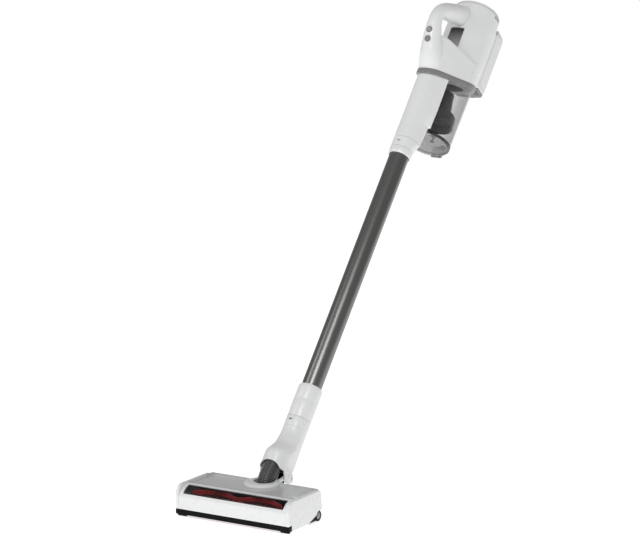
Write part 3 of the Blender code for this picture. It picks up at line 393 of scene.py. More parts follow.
finishes = {
    "white": dict(colour=(0.80, 0.805, 0.81), second=(0.83, 0.835, 0.838), rough=0.30, coat=0.25, coatRough=0.14, grain=2200.0,
                  bump=0.08),
    "headWhite": dict(colour=(0.80, 0.805, 0.81), second=(0.83, 0.835, 0.838), rough=0.28, spread=0.015, coat=0.3, coatRough=0.12,
                      grain=900.0, bump=0.015, wand=False),
    "tray": dict(colour=(0.57, 0.573, 0.577), second=(0.60, 0.603, 0.606), rough=0.30, spread=0.015, coat=0.25, coatRough=0.14,
                 grain=900.0, bump=0.015, wand=False),
    "lattice": dict(colour=(0.80, 0.805, 0.81), second=(0.825, 0.83, 0.835), rough=0.38, coat=0.1, coatRough=0.25, grain=1800.0,
                    bump=0.12),
    "trim": dict(colour=(0.215, 0.215, 0.22), second=(0.24, 0.24, 0.245), rough=0.34, grain=1900.0, bump=0.1),
    "button": dict(colour=(0.20, 0.20, 0.205), second=(0.23, 0.23, 0.235), rough=0.42, grain=1600.0, bump=0.2),
    "mark": dict(colour=(0.55, 0.56, 0.57), second=(0.62, 0.63, 0.64), rough=0.45, grain=1600.0),
    "darkMark": dict(colour=(0.05, 0.05, 0.052), second=(0.07, 0.07, 0.072), rough=0.5, grain=1600.0),
    "dark": dict(colour=(0.012, 0.012, 0.013), second=(0.022, 0.022, 0.023), rough=0.16, shine=0.45, grain=1500.0, bump=0.08),
    "black": dict(colour=(0.004, 0.004, 0.0045), second=(0.008, 0.008, 0.0085), rough=0.42, shine=0.08, grain=1300.0, bump=0.2,
                  wand=False),
    # grip: black panel whose lower end fades to grey, a painted reflection
    "grip": dict(colour=(0.020, 0.020, 0.022), second=(0.030, 0.030, 0.032), rough=0.55, grain=2600.0, bump=0.5, depth=0.00008,
                 reflectionFade=(1.030, 1.086, (0.42, 0.42, 0.425))),
    "rubber": dict(colour=(0.008, 0.008, 0.008), second=(0.016, 0.016, 0.016), rough=0.75, shine=0.2, grain=900.0, bump=0.5,
                   wand=False),
    "hub": dict(colour=(0.24, 0.24, 0.245), second=(0.30, 0.30, 0.305), rough=0.40, grain=1500.0, wand=False),
    "smoked": dict(colour=(0.003, 0.003, 0.004), second=(0.006, 0.006, 0.007), rough=0.05, spread=0.01, shine=0.35, grain=600.0,
                   bump=0.01, clear=(0.10, 0.62), wand=False),
    "clear": dict(colour=(0.16, 0.16, 0.165), second=(0.20, 0.20, 0.205), rough=0.05, spread=0.02, shine=0.9, coat=0.6,
                  coatRough=0.03, grain=300.0, bump=0.02, clear=(0.12, 0.66), ior=1.55),
    "tinted": dict(colour=(0.10, 0.10, 0.104), second=(0.14, 0.14, 0.144), rough=0.10, spread=0.03, coat=0.5, coatRough=0.05,
                   grain=500.0, bump=0.04, clear=(0.34, 0.85)),
    "bristle": dict(colour=(0.60, 0.022, 0.030), second=(0.86, 0.080, 0.085), rough=0.6, cloud=180.0, sheen=0.4, grain=3000.0,
                    bump=0.3, wand=False),
    "pileBase": dict(colour=(0.045, 0.012, 0.012), second=(0.09, 0.016, 0.016), rough=0.85, cloud=90.0, grain=1200.0, bump=0.6,
                     depth=0.0002, wand=False),
    "hose": dict(colour=(0.020, 0.020, 0.021), second=(0.040, 0.040, 0.041), rough=0.26, shine=0.9, coat=0.4, coatRough=0.2,
                 cloud=260.0, grain=1500.0, bump=0.4, depth=0.00012, speck=(0.12, 0.12, 0.12), speckShare=0.5),
    "alloy": dict(colour=(0.190, 0.187, 0.184), second=(0.215, 0.212, 0.208), rough=0.30, metal=1.0, cloud=60.0,
                  stretch=(1.0, 1.0, 26.0), grain=2600.0, bump=0.18, depth=0.00003, spread=0.03),
    "steel": dict(colour=(0.50, 0.50, 0.51), second=(0.58, 0.58, 0.59), rough=0.28, metal=1.0, grain=1800.0, bump=0.1),
    "mesh": dict(colour=(0.42, 0.42, 0.43), second=(0.50, 0.50, 0.51), rough=0.32, metal=1.0, weave=700.0, bump=0.9, depth=0.0004),
    "board": dict(colour=(0.020, 0.14, 0.055), second=(0.035, 0.20, 0.085), rough=0.42, cloud=220.0, weave=260.0, bump=0.4,
                  depth=0.0003),
    "cell": dict(colour=(0.06, 0.17, 0.34), second=(0.08, 0.21, 0.40), rough=0.35, cloud=60.0, grain=900.0, bump=0.1),
    "foam": dict(colour=(0.05, 0.05, 0.055), second=(0.10, 0.10, 0.105), rough=0.95, cloud=160.0, weave=420.0, bump=1.0,
                 depth=0.0008),
}
materials = {name: makeFinish(name, look) for name, look in finishes.items()}
print("finishes ready")


# floor head

coverShape = {"halfWidth": 122.0, "wall": 2.4, "windowHalf": 113.6, "gap": 0.3,
              "bezier": [(-88.0, 38.0), (-88.0, 48.5), (-72.0, 60.4), (-54.6, 60.8)],
              "window": [(-85.3, 46.6), (-63.2, 59.5)]}


def coverPoint(t):
    a, b, c, d = [Vector(point) for point in coverShape["bezier"]]
    s = 1 - t
    return a * s**3 + b * 3 * s * s * t + c * 3 * s * t * t + d * t**3


def coverTurn(target):
    # place on the curve that is level with a window edge
    low, high = [Vector(point) for point in coverShape["window"]]
    along = (high - low).normalized()
    return min((i / 2000 for i in range(2001)), key=lambda t: abs((coverPoint(t) - Vector(target)).dot(along)))


def facingOut(bm):
    # an open sheet has no inside, so up and forward count as out
    bmesh.ops.recalc_face_normals(bm, faces=bm.faces)
    if sum(face.normal.z - face.normal.y for face in bm.faces) < 0:
        bmesh.ops.reverse_faces(bm, faces=bm.faces)


def makeCover():
    wide, hole = coverShape["halfWidth"], coverShape["windowHalf"]
    lowT, highT = [coverTurn(point) for point in coverShape["window"]]
    turns = [lowT * i / 8 for i in range(8)] + [lowT + (highT - lowT) * i / 24 for i in range(24)]
    turns += [highT + (1 - highT) * i / 6 for i in range(7)]
    run = [Vector((-88.0, 15.1)), Vector((-88.0, 26.0))] + [coverPoint(t) for t in turns]
    start, end = 2 + 8, 2 + 8 + 24
    bm = bmesh.new()
    verts = [bm.verts.new((-wide, p.x, p.y)) for p in run]
    edges = [bm.edges.new(pair) for pair in zip(verts, verts[1:])]
    stops = [-hole] + [-hole + 2 * hole * i / 12 for i in range(1, 12)] + [hole, wide]
    before = -wide
    openFaces = []
    low, high = run[start], run[end]
    for stop in stops:
        grown, fresh, edges = pulled(bm, edges)
        bmesh.ops.translate(bm, vec=(stop - before, 0, 0), verts=fresh)
        if before >= -hole and stop <= hole:
            for item in grown:
                if isinstance(item, bmesh.types.BMFace):
                    middle = item.calc_center_median()
                    if low.x < middle.y < high.x and middle.z > low.y - 0.2:
                        openFaces.append(item)
        before = stop
    bmesh.ops.delete(bm, geom=openFaces, context="FACES")
    facingOut(bm)
    addPiece("brushCover", bm, standing, "headWhite", "head", ["brush_cover"], wall=coverShape["wall"], bevel=0.45)

    # the window is the same curve, a little lower and a gap smaller
    inner = coverShape["gap"]
    pane = bmesh.new()
    shrink = inner / 25.6
    ts = [lowT + (highT - lowT) * (shrink + (1 - 2 * shrink) * i / 20) for i in range(21)]
    verts = [pane.verts.new((-(hole - inner), coverPoint(t).x, coverPoint(t).y - 0.15)) for t in ts]
    edges = [pane.edges.new(pair) for pair in zip(verts, verts[1:])]
    for i in range(8):
        grown, fresh, edges = pulled(pane, edges)
        bmesh.ops.translate(pane, vec=(2 * (hole - inner) / 8, 0, 0), verts=fresh)
    facingOut(pane)
    addPiece("brushWindow", pane, standing, "smoked", "head", ["brush_window"], wall=1.7, bevel=0.25)


def makeTray():
    half, centre = 122.0, (0.0, 22.0, 0.0)
    deck = through([(-47.0, 59.3), (-43.5, 58.6), (-40.0, 57.7), (-34.0, 57.1), (-15.0, 56.0)], 5)
    rear = through([(29.0, 60.9), (30.0, 61.5), (31.1, 61.3), (32.1, 59.6), (33.0, 55.0), (33.6, 44.0), (34.0, 24.0), (34.0, 8.0)],
                   5)
    inside = [(31.6, 8.0), (31.2, 44.0), (30.4, 53.6), (-15.0, 53.6), (-40.0, 55.0), (-53.4, 57.0)]
    corner = [(26.0, 56.0), (27.0, 56.3), (27.8, 57.2), (28.4, 59.2)]
    section = [(-53.4, 59.6)] + [tuple(p) for p in deck] + corner + [tuple(p) for p in rear] + inside
    dish = spun([(37.7, 56.02), (37.7, 70.0), (0.0, 70.0), (0.0, 56.02)], centre)
    bulge = spun(eased([(0.0, 45.0), (41.5, 45.0), (41.5, 56.3), (38.0, 57.0), (0.0, 57.0)], 0.8), centre)
    hole = spun([(32.0, 30.0), (32.0, 43.5), (36.8, 56.5), (36.8, 80.0), (0.0, 80.0), (0.0, 30.0)], centre)
    slot = block((-20.4, 42.0, 44.4), (20.4, 70.0, 60.0))
    recess = block((104.6, -44.4, 57.4), (120.4, -36.1, 64.0), 0.6)
    corners = []
    for side in (-1, 1):                              # inner corners of the rim, round in plan
        turns = [math.radians(90.0 * k / 10) for k in range(11)]
        run = [(side * (106.0 + 16.2 * math.cos(t)), 12.6 + 16.2 * math.sin(t)) for t in turns]
        corners.append(slab([(side * 122.0, 29.4)] + run, 54.5, 61.3, "Z"))
    arches = [block((min(side * 114.5, side * 124), 8, 0), (max(side * 114.5, side * 124), 40, 23)) for side in (-1, 1)]
    steps = [("UNION", bulge)] + [("UNION", corner) for corner in corners] + [dish, hole, slot, recess] + arches
    addPiece("trayHousing", slab(section, -half, half), standing, "tray", "head", ["tray_housing"],
             steps, bevel=0.3, angle=30)
    # grey strip in the groove between cover and tray: painted shade for the groove's shaded wall
    addPiece("grooveShadeStrip", block((-121.6, -54.3, 57.2), (121.6, -53.1, 60.9), 0.4), standing, "hub", "head")


capShape = {"inner": 122.3, "outer": 130.0, "round": 2.3, "wheel": (22.4, 10.5, 11.4)}


def makeSideCap(name, side, node):
    front = through([(-88.0, 15.1), (-88.3, 30.0), (-88.4, 41.0), (-87.3, 48.2), (-84.4, 54.4), (-79.6, 59.2), (-73.0, 61.9),
                     (-65.0, 62.4)], 5)
    rear = through([(-49.0, 62.2), (18.0, 61.8), (24.0, 61.0), (28.2, 58.2), (30.4, 52.8), (31.9, 42.0), (34.0, 24.0),
                    (33.6, 21.5)], 5)
    low = [(-12.0, 4.6), (-17.0, 3.4), (-74.5, 3.4), (-77.0, 6.0), (-77.0, 15.1)]
    outline = [tuple(p) for p in front] + [tuple(p) for p in rear] + low
    bm = slab(outline, side * capShape["inner"], side * capShape["outer"])
    rim = [edge for edge in bm.edges if all(abs(abs(v.co.x) - capShape["outer"]) < 0.01 for v in edge.verts)]
    bmesh.ops.bevel(bm, geom=rim, offset=capShape["round"], offset_type="OFFSET", segments=5, profile=0.5, affect="EDGES",
                    clamp_overlap=False, material=-1)
    wheelY, wheelZ, radius = capShape["wheel"]
    steps = [spun([(side * 110.0, radius), (side * 150.0, radius), (side * 150.0, 0.0), (side * 110.0, 0.0)],
                                 (0.0, wheelY, wheelZ), "X", 64)]
    addPiece(name, bm, standing, "headWhite", "head", [node], steps, bevel=0.2, angle=40)
    wedge = slab(eased([(-10.0, 3.6), (10.2, 3.6), (10.2, 11.9)], 0.8, 3, True), side * 122.6, side * 128.6)
    addPiece(name + "Flange", wedge, standing, "black", "head", bevel=0.4)


pile = {"half": 102.0, "axis": (-57.5, 27.5), "root": 16.4, "reach": 25.5, "rows": 4, "lanes": (-5.0, -1.8, 1.8, 5.0), "count": 118,
        "wave": 26.0}


def makeBristles():
    (axisY, axisZ), half, root, count = pile["axis"], pile["half"], pile["root"], pile["count"]
    sleeve = spun(eased([(-half, 15.3), (-half, 16.6), (half, 16.6), (half, 15.3)], 0.4, 2, True), (0.0, axisY, axisZ), "X", 64)
    addPiece("pileSleeve", sleeve, standing, "pileBase", "roller", ["brush_pile"])
    tufts = bmesh.new()
    for row in range(pile["rows"]):
        for lane in pile["lanes"]:
            for i in range(count):
                x = -half + 1.4 + (2 * half - 2.8) * (i + 0.5 * (lane > 0)) / count
                x += random.uniform(-0.25, 0.25)
                angle = row * 90.0 + pile["wave"] * math.cos(2 * math.pi * 2 * x / 204.0) + lane + random.uniform(-0.7, 0.7)
                height = pile["reach"] - abs(lane) * 0.12 + random.uniform(-0.5, 0.25)
                turn = math.radians(angle)
                spot = Matrix.Translation((x, axisY + root * math.cos(turn), axisZ + root * math.sin(turn)))
                tilt = Matrix.Rotation(turn - math.pi / 2, 4, "X") @ Matrix.Rotation(random.uniform(-0.05, 0.05), 4, "Y")
                length = height - root
                bmesh.ops.create_cone(tufts, cap_ends=True, cap_tris=False, segments=5, radius1=0.62, radius2=0.42, depth=length,
                                      matrix=spot @ tilt @ Matrix.Translation((0, 0, length / 2)))
    addPiece("bristleTufts", tufts, standing, "bristle", "roller", angle=60)


wheels = {"frontX": 117.0, "front": (0.0, -81.4, 4.3), "rearX": 122.6, "rear": (0.0, 22.4, 10.5), "spokes": 5}


def makeHeadWheels():
    for side, word in ((-1, "Left"), (1, "Right")):
        node = "front_roller_" + word.lower()
        run = eased([(-9.6, 0.0), (-9.6, 3.6), (-8.8, 4.3), (-3.4, 4.3), (-3.0, 3.9), (-2.6, 4.3), (2.6, 4.3), (3.0, 3.9),
                     (3.4, 4.3),
                     (8.8, 4.3), (9.6, 3.6), (9.6, 0.0)], 0.3, 3)
        addPiece("frontRoller" + word, spun([(side * wheels["frontX"] + x, r) for x, r in run], wheels["front"], "X", 48, False),
                 standing,
                 "black", "caster_" + word.lower(), [node])
        node = "rear_wheel_" + word.lower()
        tread = [(-6.0, 2.6), (-6.0, 9.4), (-5.2, 10.5), (-3.2, 10.5), (-2.9, 10.0), (-2.5, 10.0), (-2.2, 10.5), (2.2, 10.5),
                 (2.5, 10.0),
                 (2.9, 10.0), (3.2, 10.5), (5.2, 10.5), (6.0, 9.4), (6.0, 7.4), (4.8, 7.0), (4.8, 2.6)]
        run = eased(tread, 0.3, 3, True)
        addPiece("rearWheel" + word, spun([(side * (wheels["rearX"] + x), r) for x, r in run], wheels["rear"], "X", 64), standing,
                 "rubber", "wheel_" + word.lower(), [node])
        hub = spun([(side * (wheels["rearX"] + x), r) for x,
                    r in eased([(4.9, 0.0), (4.9, 6.8), (5.5, 6.6), (5.2, 3.4), (6.0, 2.6), (6.2, 0.0)], 0.25, 3)],
                   wheels["rear"], "X", 48, False)
        spokes = []
        face = side * wheels["rearX"] + side * 4.8
        for k in range(wheels["spokes"]):
            spoke = block((face - 0.5, -0.55, 2.2), (face + 0.9, 0.55, 6.4), 0.2)
            turn = Matrix.Translation(wheels["rear"]) @ Matrix.Rotation(2 * math.pi * k / wheels["spokes"], 4, "X")
            bmesh.ops.transform(spoke, matrix=turn, verts=spoke.verts)
            spokes.append(spoke)
        addPiece("wheelHub" + word, merged(hub, *spokes), standing, "hub", "wheel_" + word.lower())


makeCover()
makeTray()
makeSideCap("sideCapLeft", -1, "side_cap_left")
makeSideCap("sideCapRight", 1, "side_cap_right")
makeBristles()
makeHeadWheels()
for name, finish, bevel in (("base_plate", "black", 0.5), ("brush_chamber", "black", 0.0), ("suction_duct", "black", 0.0),
                            ("brush_roller", "black", 0.0),
                            ("roller_pulley", "trim", 0.0), ("brush_motor", "steel", 0.3), ("motor_pulley", "trim",
                                    0.0), ("drive_belt", "rubber", 0.0),
                            ("bearing_left", "steel", 0.3), ("bearing_right", "steel", 0.3), ("cap_latch", "headWhite", 0.5)):
    dressNode(name, finish, bevel)
print("floor head ready")


# collar, hose and neck

pivot = (80.0 - 4.0 * math.sin(lean), 60.8 - 4.0 * math.cos(lean))


def pinBore(half):
    return [(-half, 3.5), (half, 3.5), (half, 0.0), (-half, 0.0)]


def arcPoints(centreY, centreZ, radius, start, end, steps):
    turns = [math.radians(start + (end - start) * i / steps) for i in range(steps + 1)]
    return [(centreY + radius * math.cos(t), centreZ + radius * math.sin(t)) for t in turns]


def makeCollar():
    crest = through([(37.0, 56.6), (36.9, 57.8), (35.6, 59.3), (33.4, 60.9), (31.0, 62.0), (28.5, 62.5), (26.2, 62.3),
                     (24.0, 61.4)], 4)
    run = [(30.0, 45.3), (30.0, 56.35), (36.6, 56.35)] + [tuple(p) for p in crest] + [(10.0, 61.0), (10.0, 45.3)]
    bm = spun(run, (0.0, 22.0, 0.0), "Z", 128)
    boss = arcPoints(pivot[0], pivot[1], 9.6, 115, -145, 40)
    ear = [(38.0, 57.0), (38.0, 61.6), (47.0, 62.0), (56.0, 62.8), (66.0, 64.5)] + boss + [(64.0, 56.8)]
    steps = [("UNION", slab(ear, min(side * 20.2, side * 25.3), max(side * 20.2, side * 25.3))) for side in (-1, 1)]
    steps.append(spun([(21.1, 40.0), (21.1, 70.0), (0.0, 70.0), (0.0, 40.0)], (0.0, 29.0, 0.0), "Z", 96))
    steps.append(block((-19.7, 30.0, 40.0), (19.7, 70.0, 70.0)))
    steps.append(spun(pinBore(40.0), (0.0, *pivot), "X", 40))
    addPiece("swivelCollar", bm, standing, "headWhite", "turret", ["swivel_collar"], steps, bevel=0.6, angle=40)


def neckRings(wall, below=0.0):
    flare = [(-21.8, -4.0, 10.0), (21.8, -4.0, 10.0), (0.0, -23.0, 28.0)]
    levels = [(-15.0 - below, flare), (-6.0, flare), (2.0, flare),
              (10.0, [(-17.5, -2.0, 11.5), (17.5, -2.0, 11.5), (0.0, -23.0, 28.0)]),
              (18.0, [(0.0, 0.0, 26.2), (0.0, -23.0, 28.0)]), (33.0, [(0.0, 0.0, 26.0), (0.0, -22.0, 28.0)]),
              (44.0, [(0.0, 0.0, 25.8), (0.0, -15.5, 27.2)]), (58.0, [(0.0, 0.0, 25.5), (0.0, -7.0, 25.6)]),
              (73.0, [(0.0, 0.0, 25.3), (0.0, -2.5, 25.3)]), (86.0, [(0.0, 0.0, 25.2)]), (99.3, [(0.0, 0.0, 25.2)])]
    rings = [band(circles, level, 0.0, -wall, 128) for level, circles in levels]
    columns = [through(column, 4) for column in zip(*rings)]
    return [list(ring) for ring in zip(*columns)]


def makeNeck():
    inside = neckRings(2.4, 9.0)
    inside.append([point + Vector((0.0, 0.0, 2.0)) for point in inside[-1]])
    arch = []
    for i in range(49):                               # fuller at its shoulders than an ellipse
        c, h = math.cos(math.pi * i / 48), math.sin(math.pi * i / 48)
        arch.append((27.3 * math.copysign(abs(c)**0.8, c), -22.0 + 31.5 * h**0.8))
    steps = []
    for side in (-1, 1):
        run = eased([(side * 24.0, 0.0), (side * 24.0, 10.0), (side * 31.8, 10.0), (side * 31.8, 0.0)], 1.2)
        steps.append(("UNION", spun(run, (0.0, 0.0, -4.0), "X", 72, False)))
    steps.append(skin(inside))
    steps.append(block((-25.8, -24.0, -31.0), (25.8, 61.0, 8.3)))
    steps.append(slab(arch, -72.0, -11.3, "Y"))
    steps.append(block((-61.0, -73.0, -41.0), (61.0, -26.3, -1.2)))
    steps.append(slab([(-26.4, -1.1), (-10.2, -20.3), (-40.0, -20.3), (-40.0, -1.1)], -62.0, 62.0))
    steps.append(spun(pinBore(41.0), (0.0, 0.0, -4.0), "X", 40))
    addPiece("neckShell", skin(neckRings(0.0)), leaning, "white", "neck", ["neck_shell"], steps, bevel=0.8, angle=42)
    apron = eased([(8.6, 12.0), (8.2, 2.0), (5.4, -8.0), (0.6, -15.5), (-0.6, -14.6), (3.8, -7.4), (6.6, 2.4), (7.0, 12.0)], 2.0, 3,
                  True)
    addPiece("neckApron", slab(apron, -19.3, 19.3), leaning, "black", "neck", bevel=0.4, angle=60)
    ring = eased([(25.2, 99.6), (25.2, 121.2), (21.6, 121.2), (21.6, 99.6)], 0.5, 4, True)
    addPiece("neckRing", spun(ring, turns=128), leaning, "white", "neck", ["neck_ring"],
             [block((-6.3, 15.0, 103.7), (6.3, 40.0, 116.3), 1.2)])


def chevron(name, radius, level, turn, width, body):
    # small arrow mark that lies on a round wall
    bm = bmesh.new()
    half, drop, thick = width / 2, width * 0.36, width * 0.2
    outer = [(-half, drop), (-half + thick, drop + thick * 0.2), (0.0, thick), (half - thick, drop + thick * 0.2), (half, drop),
             (0.0, -thick * 0.55)]
    face = bm.faces.new([bm.verts.new((x, 0.0, z)) for x, z in outer])
    bmesh.ops.triangulate(bm, faces=[face])
    bmesh.ops.subdivide_edges(bm, edges=bm.edges, cuts=4, use_grid_fill=True)
    for vert in bm.verts:
        angle = turn - math.pi / 2 + vert.co.x / radius
        vert.co = Vector((radius * math.cos(angle), radius * math.sin(angle), level + vert.co.z))
    grown = bmesh.ops.extrude_face_region(bm, geom=list(bm.faces))["geom"]
    for item in grown:
        if isinstance(item, bmesh.types.BMVert):
            item.co.x *= 1 + 0.12 / radius
            item.co.y *= 1 + 0.12 / radius
    bmesh.ops.recalc_face_normals(bm, faces=bm.faces)
    addPiece(name, bm, leaning, "darkMark", body)


hoseShape = {"radius": 18.2, "rib": 0.85, "pitch": 3.4, "wall": 1.2,
             "route": [(-28.6, -36.4), (-31.2, -28.0), (-32.2, -19.1), (-31.2, -9.0), (-29.6, 1.8), (-27.6, 13.0), (-24.0, 25.0),
                       (-16.8, 41.0), (-8.4, 56.0), (-2.6, 65.0), (-0.5, 70.0), (0.0, 76.0)]}


def makeHose():
    route = through(hoseShape["route"], 28)
    length = [0.0]
    for before, after in zip(route, route[1:]):
        length.append(length[-1] + (after - before).length)
    count = int(length[-1] / 0.42)
    even, i = [], 0
    for k in range(count + 1):
        goal = length[-1] * k / count
        while i < len(length) - 2 and length[i + 1] < goal:
            i += 1
        share = (goal - length[i]) / (length[i + 1] - length[i])
        even.append(route[i].lerp(route[i + 1], min(share, 1.0)))
    sides = 72
    outer, inner = [], []
    for k, point in enumerate(even):
        before, after = even[max(k - 1, 0)], even[min(k + 1, count)]
        run = (after - before).normalized()
        across = Vector((0.0, run.y, -run.x))
        middle = Vector((0.0, point.x, point.y))
        goal = length[-1] * k / count
        outRing, inRing = [], []
        for side in range(sides):
            t = 2 * math.pi * side / sides
            wave = math.cos(2 * math.pi * (goal / hoseShape["pitch"] + side / sides))
            radius = hoseShape["radius"] + hoseShape["rib"] * 0.6 * math.copysign(abs(wave)**0.7, wave)
            away = Vector((math.cos(t), 0.0, 0.0)) + across * math.sin(t)
            outRing.append(middle + away * radius)
            inRing.append(middle + away * (hoseShape["radius"] - hoseShape["wall"]))
        outer.append(outRing)
        inner.append(inRing)
    bm = skin(outer + inner[::-8], joined=True)
    obj = rawObject("ribbedHose", bm, leaning)
    obj.data.materials.append(materials["hose"])
    obj.data.shade_smooth()
    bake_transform(obj)
    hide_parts("flex_hose")


makeCollar()
makeNeck()
makeHose()
chevron("neckMark", 25.22, 111.0, -0.16, 10.0, "neck")
for name, finish, bevel in (("hinge_pin_left", "steel", 0.0), ("hinge_pin_right", "steel", 0.0), ("neck_spigot", "dark", 0.0),
                            ("neck_release", "button", 0.6)):
    dressNode(name, finish, bevel)
print("neck ready")


# wand

def makeWand():
    tube = eased([(20.8, 137.2), (20.8, 777.4), (19.6, 777.4), (19.6, 137.2)], 0.3, 3, True)
    addPiece("wandTube", spun(tube, turns=128), leaning, "alloy", "wand", ["wand_tube"])
    lower = [(25.2, 121.7), (25.38, 150.0), (25.4, 160.6), (25.05, 160.8), (25.05, 161.3), (25.4, 161.5), (25.2, 188.0),
             (24.6, 194.0), (21.1, 194.0), (21.1, 121.7)]
    addPiece("lowerSleeve", spun(eased(lower, 0.35, 3, True), turns=128), leaning, "white", "wand", ["lower_sleeve"])
    upper = eased([(21.1, 742.0), (23.4, 742.0), (24.4, 747.0), (24.4, 757.6), (21.1, 757.6)], 0.8, 4, True)
    addPiece("upperSleeve", spun(upper, turns=128), leaning, "white", "wand", ["upper_sleeve"])


makeWand()
print("wand ready")


# hand unit

unit = {"binY": 82.0, "motorY": 88.0, "ringLevel": 955.5, "slope": 0.33, "seam": 1027.3, "housingTop": 1160.0,
        "hinge": (135.8, 830.4)}
ringCircles = [(0.0, 0.0, 29.2), (0.0, 84.0, 55.5)]


def well(radius, low, high, y=0.0, turns=128):
    # round cutter between two levels
    return spun([(radius, low), (radius, high), (0.0, high), (0.0, low)], (0.0, y, 0.0), turns=turns)


def makeTubeHousing():
    def wide(x, y, radius):
        return [(0.0, 0.0, 24.3), (-x, y, radius), (x, y, radius)]
    levels = [(780.8, 0.0, wide(18.0, 9.5, 12.5), -0.4), (781.2, 0.0, wide(18.0, 9.5, 12.5), 0.0),
              (827.0, 0.0, wide(22.0, 14.0, 9.5), 0.0),
              (828.2, 0.0, wide(22.0, 14.0, 9.5), 0.0), (828.5, 0.0, wide(22.0, 14.0, 9.5), -0.45), (829.1, 0.0,
                      wide(22.0, 14.0, 9.6), -0.45),
              (829.4, 0.0, wide(22.1, 14.1, 9.6), 0.0), (831.5, 0.0, wide(26.0, 18.0, 8.5), 0.0), (874.0, 0.0,
                      wide(26.5, 19.0, 8.5), 0.0),
              (943.2, unit["slope"], wide(26.0, 18.5, 8.5), 0.0)]
    outer = [band(circles, level, slope, grow, 128) for level, slope, circles, grow in levels]
    inner = [band(circles, level, slope, -2.2, 128) for level, slope, circles, grow in levels if grow == 0.0]
    addPiece("tubeHousing", skin(outer + inner[::-1], joined=True), leaning, "white", "hand_unit", ["tube_housing"],
             angle=28)
    low, high = [(0.0, 0.0, 24.3)], wide(17.0, 8.5, 12.5)
    outer = [band(low, 758.0, 0.0, -0.4, 128), band(low, 758.4, 0.0, 0.0, 128), band(high, 780.0, 0.0, 0.0, 128),
             band(high, 780.4, 0.0, -0.4, 128)]
    inner = [band([(0.0, 0.0, 21.3)], level, 0.0, 0.0, 128) for level in (780.4, 758.0)]
    addPiece("upperRing", skin(outer + inner, joined=True), leaning, "white", "hand_unit", ["upper_ring"],
             [block((-6.3, 15.0, 761.7), (6.3, 40.0, 775.3), 1.0)], angle=28)


def makeTrimRing():
    low, high = unit["ringLevel"] - 12.0, unit["ringLevel"]
    profile = eased([(-4.0, low), (0.0, low + 0.2), (0.0, high), (-4.0, high)], 1.6, 5)
    steps = [well(21.5, 900.0, 1100.0, turns=96),
             well(33.0, 900.0, 1100.0, unit["binY"], 96)]
    addPiece("trimRing", bandSkin(ringCircles, [tuple(p) for p in profile], unit["slope"], turns=160), leaning, "trim", "hand_unit",
             ["trim_ring"], steps, angle=40)


handleShape = {"path": [(-8.0, 962.0, 27.0, 26.0), (-27.0, 983.0, 24.0, 24.5), (-37.0, 999.0, 21.5, 22.0),
                        (-46.5, 1016.0, 18.8, 19.6),
                        (-53.0, 1031.0, 16.6, 17.4), (-57.0, 1046.0, 14.8, 15.0), (-56.5, 1060.0, 14.6, 14.6), (-49.0, 1074.0, 15.0,
                                15.6),
                        (-36.0, 1084.0, 15.4, 18.0), (-18.0, 1094.0, 15.6, 20.0), (8.0, 1108.0, 15.8, 21.5), (44.0, 1126.0, 16.0,
                                22.5)],
               "voxel": 1.25, "ease": 9, "raise": 0.4}
buttonSpots = {"power": (-66.8, 1017.5), "mode": (-60.5, 998.5)}
buttonOut = Vector((0.0, -0.905, -0.425)).normalized()
buttonUp = Vector((0.0, buttonOut.z, -buttonOut.y))


def buttonPlace(y, z):
    # right-handed axes across, up and out of the handle's front
    across = buttonUp.cross(buttonOut)
    return Matrix(((across.x, buttonUp.x, buttonOut.x, 0.0), (across.y, buttonUp.y, buttonOut.y, y),
                   (across.z, buttonUp.z, buttonOut.z, z), (0.0, 0.0, 0.0, 1.0)))


def moved(bm, matrix):
    bmesh.ops.transform(bm, matrix=matrix, verts=bm.verts)
    return bm


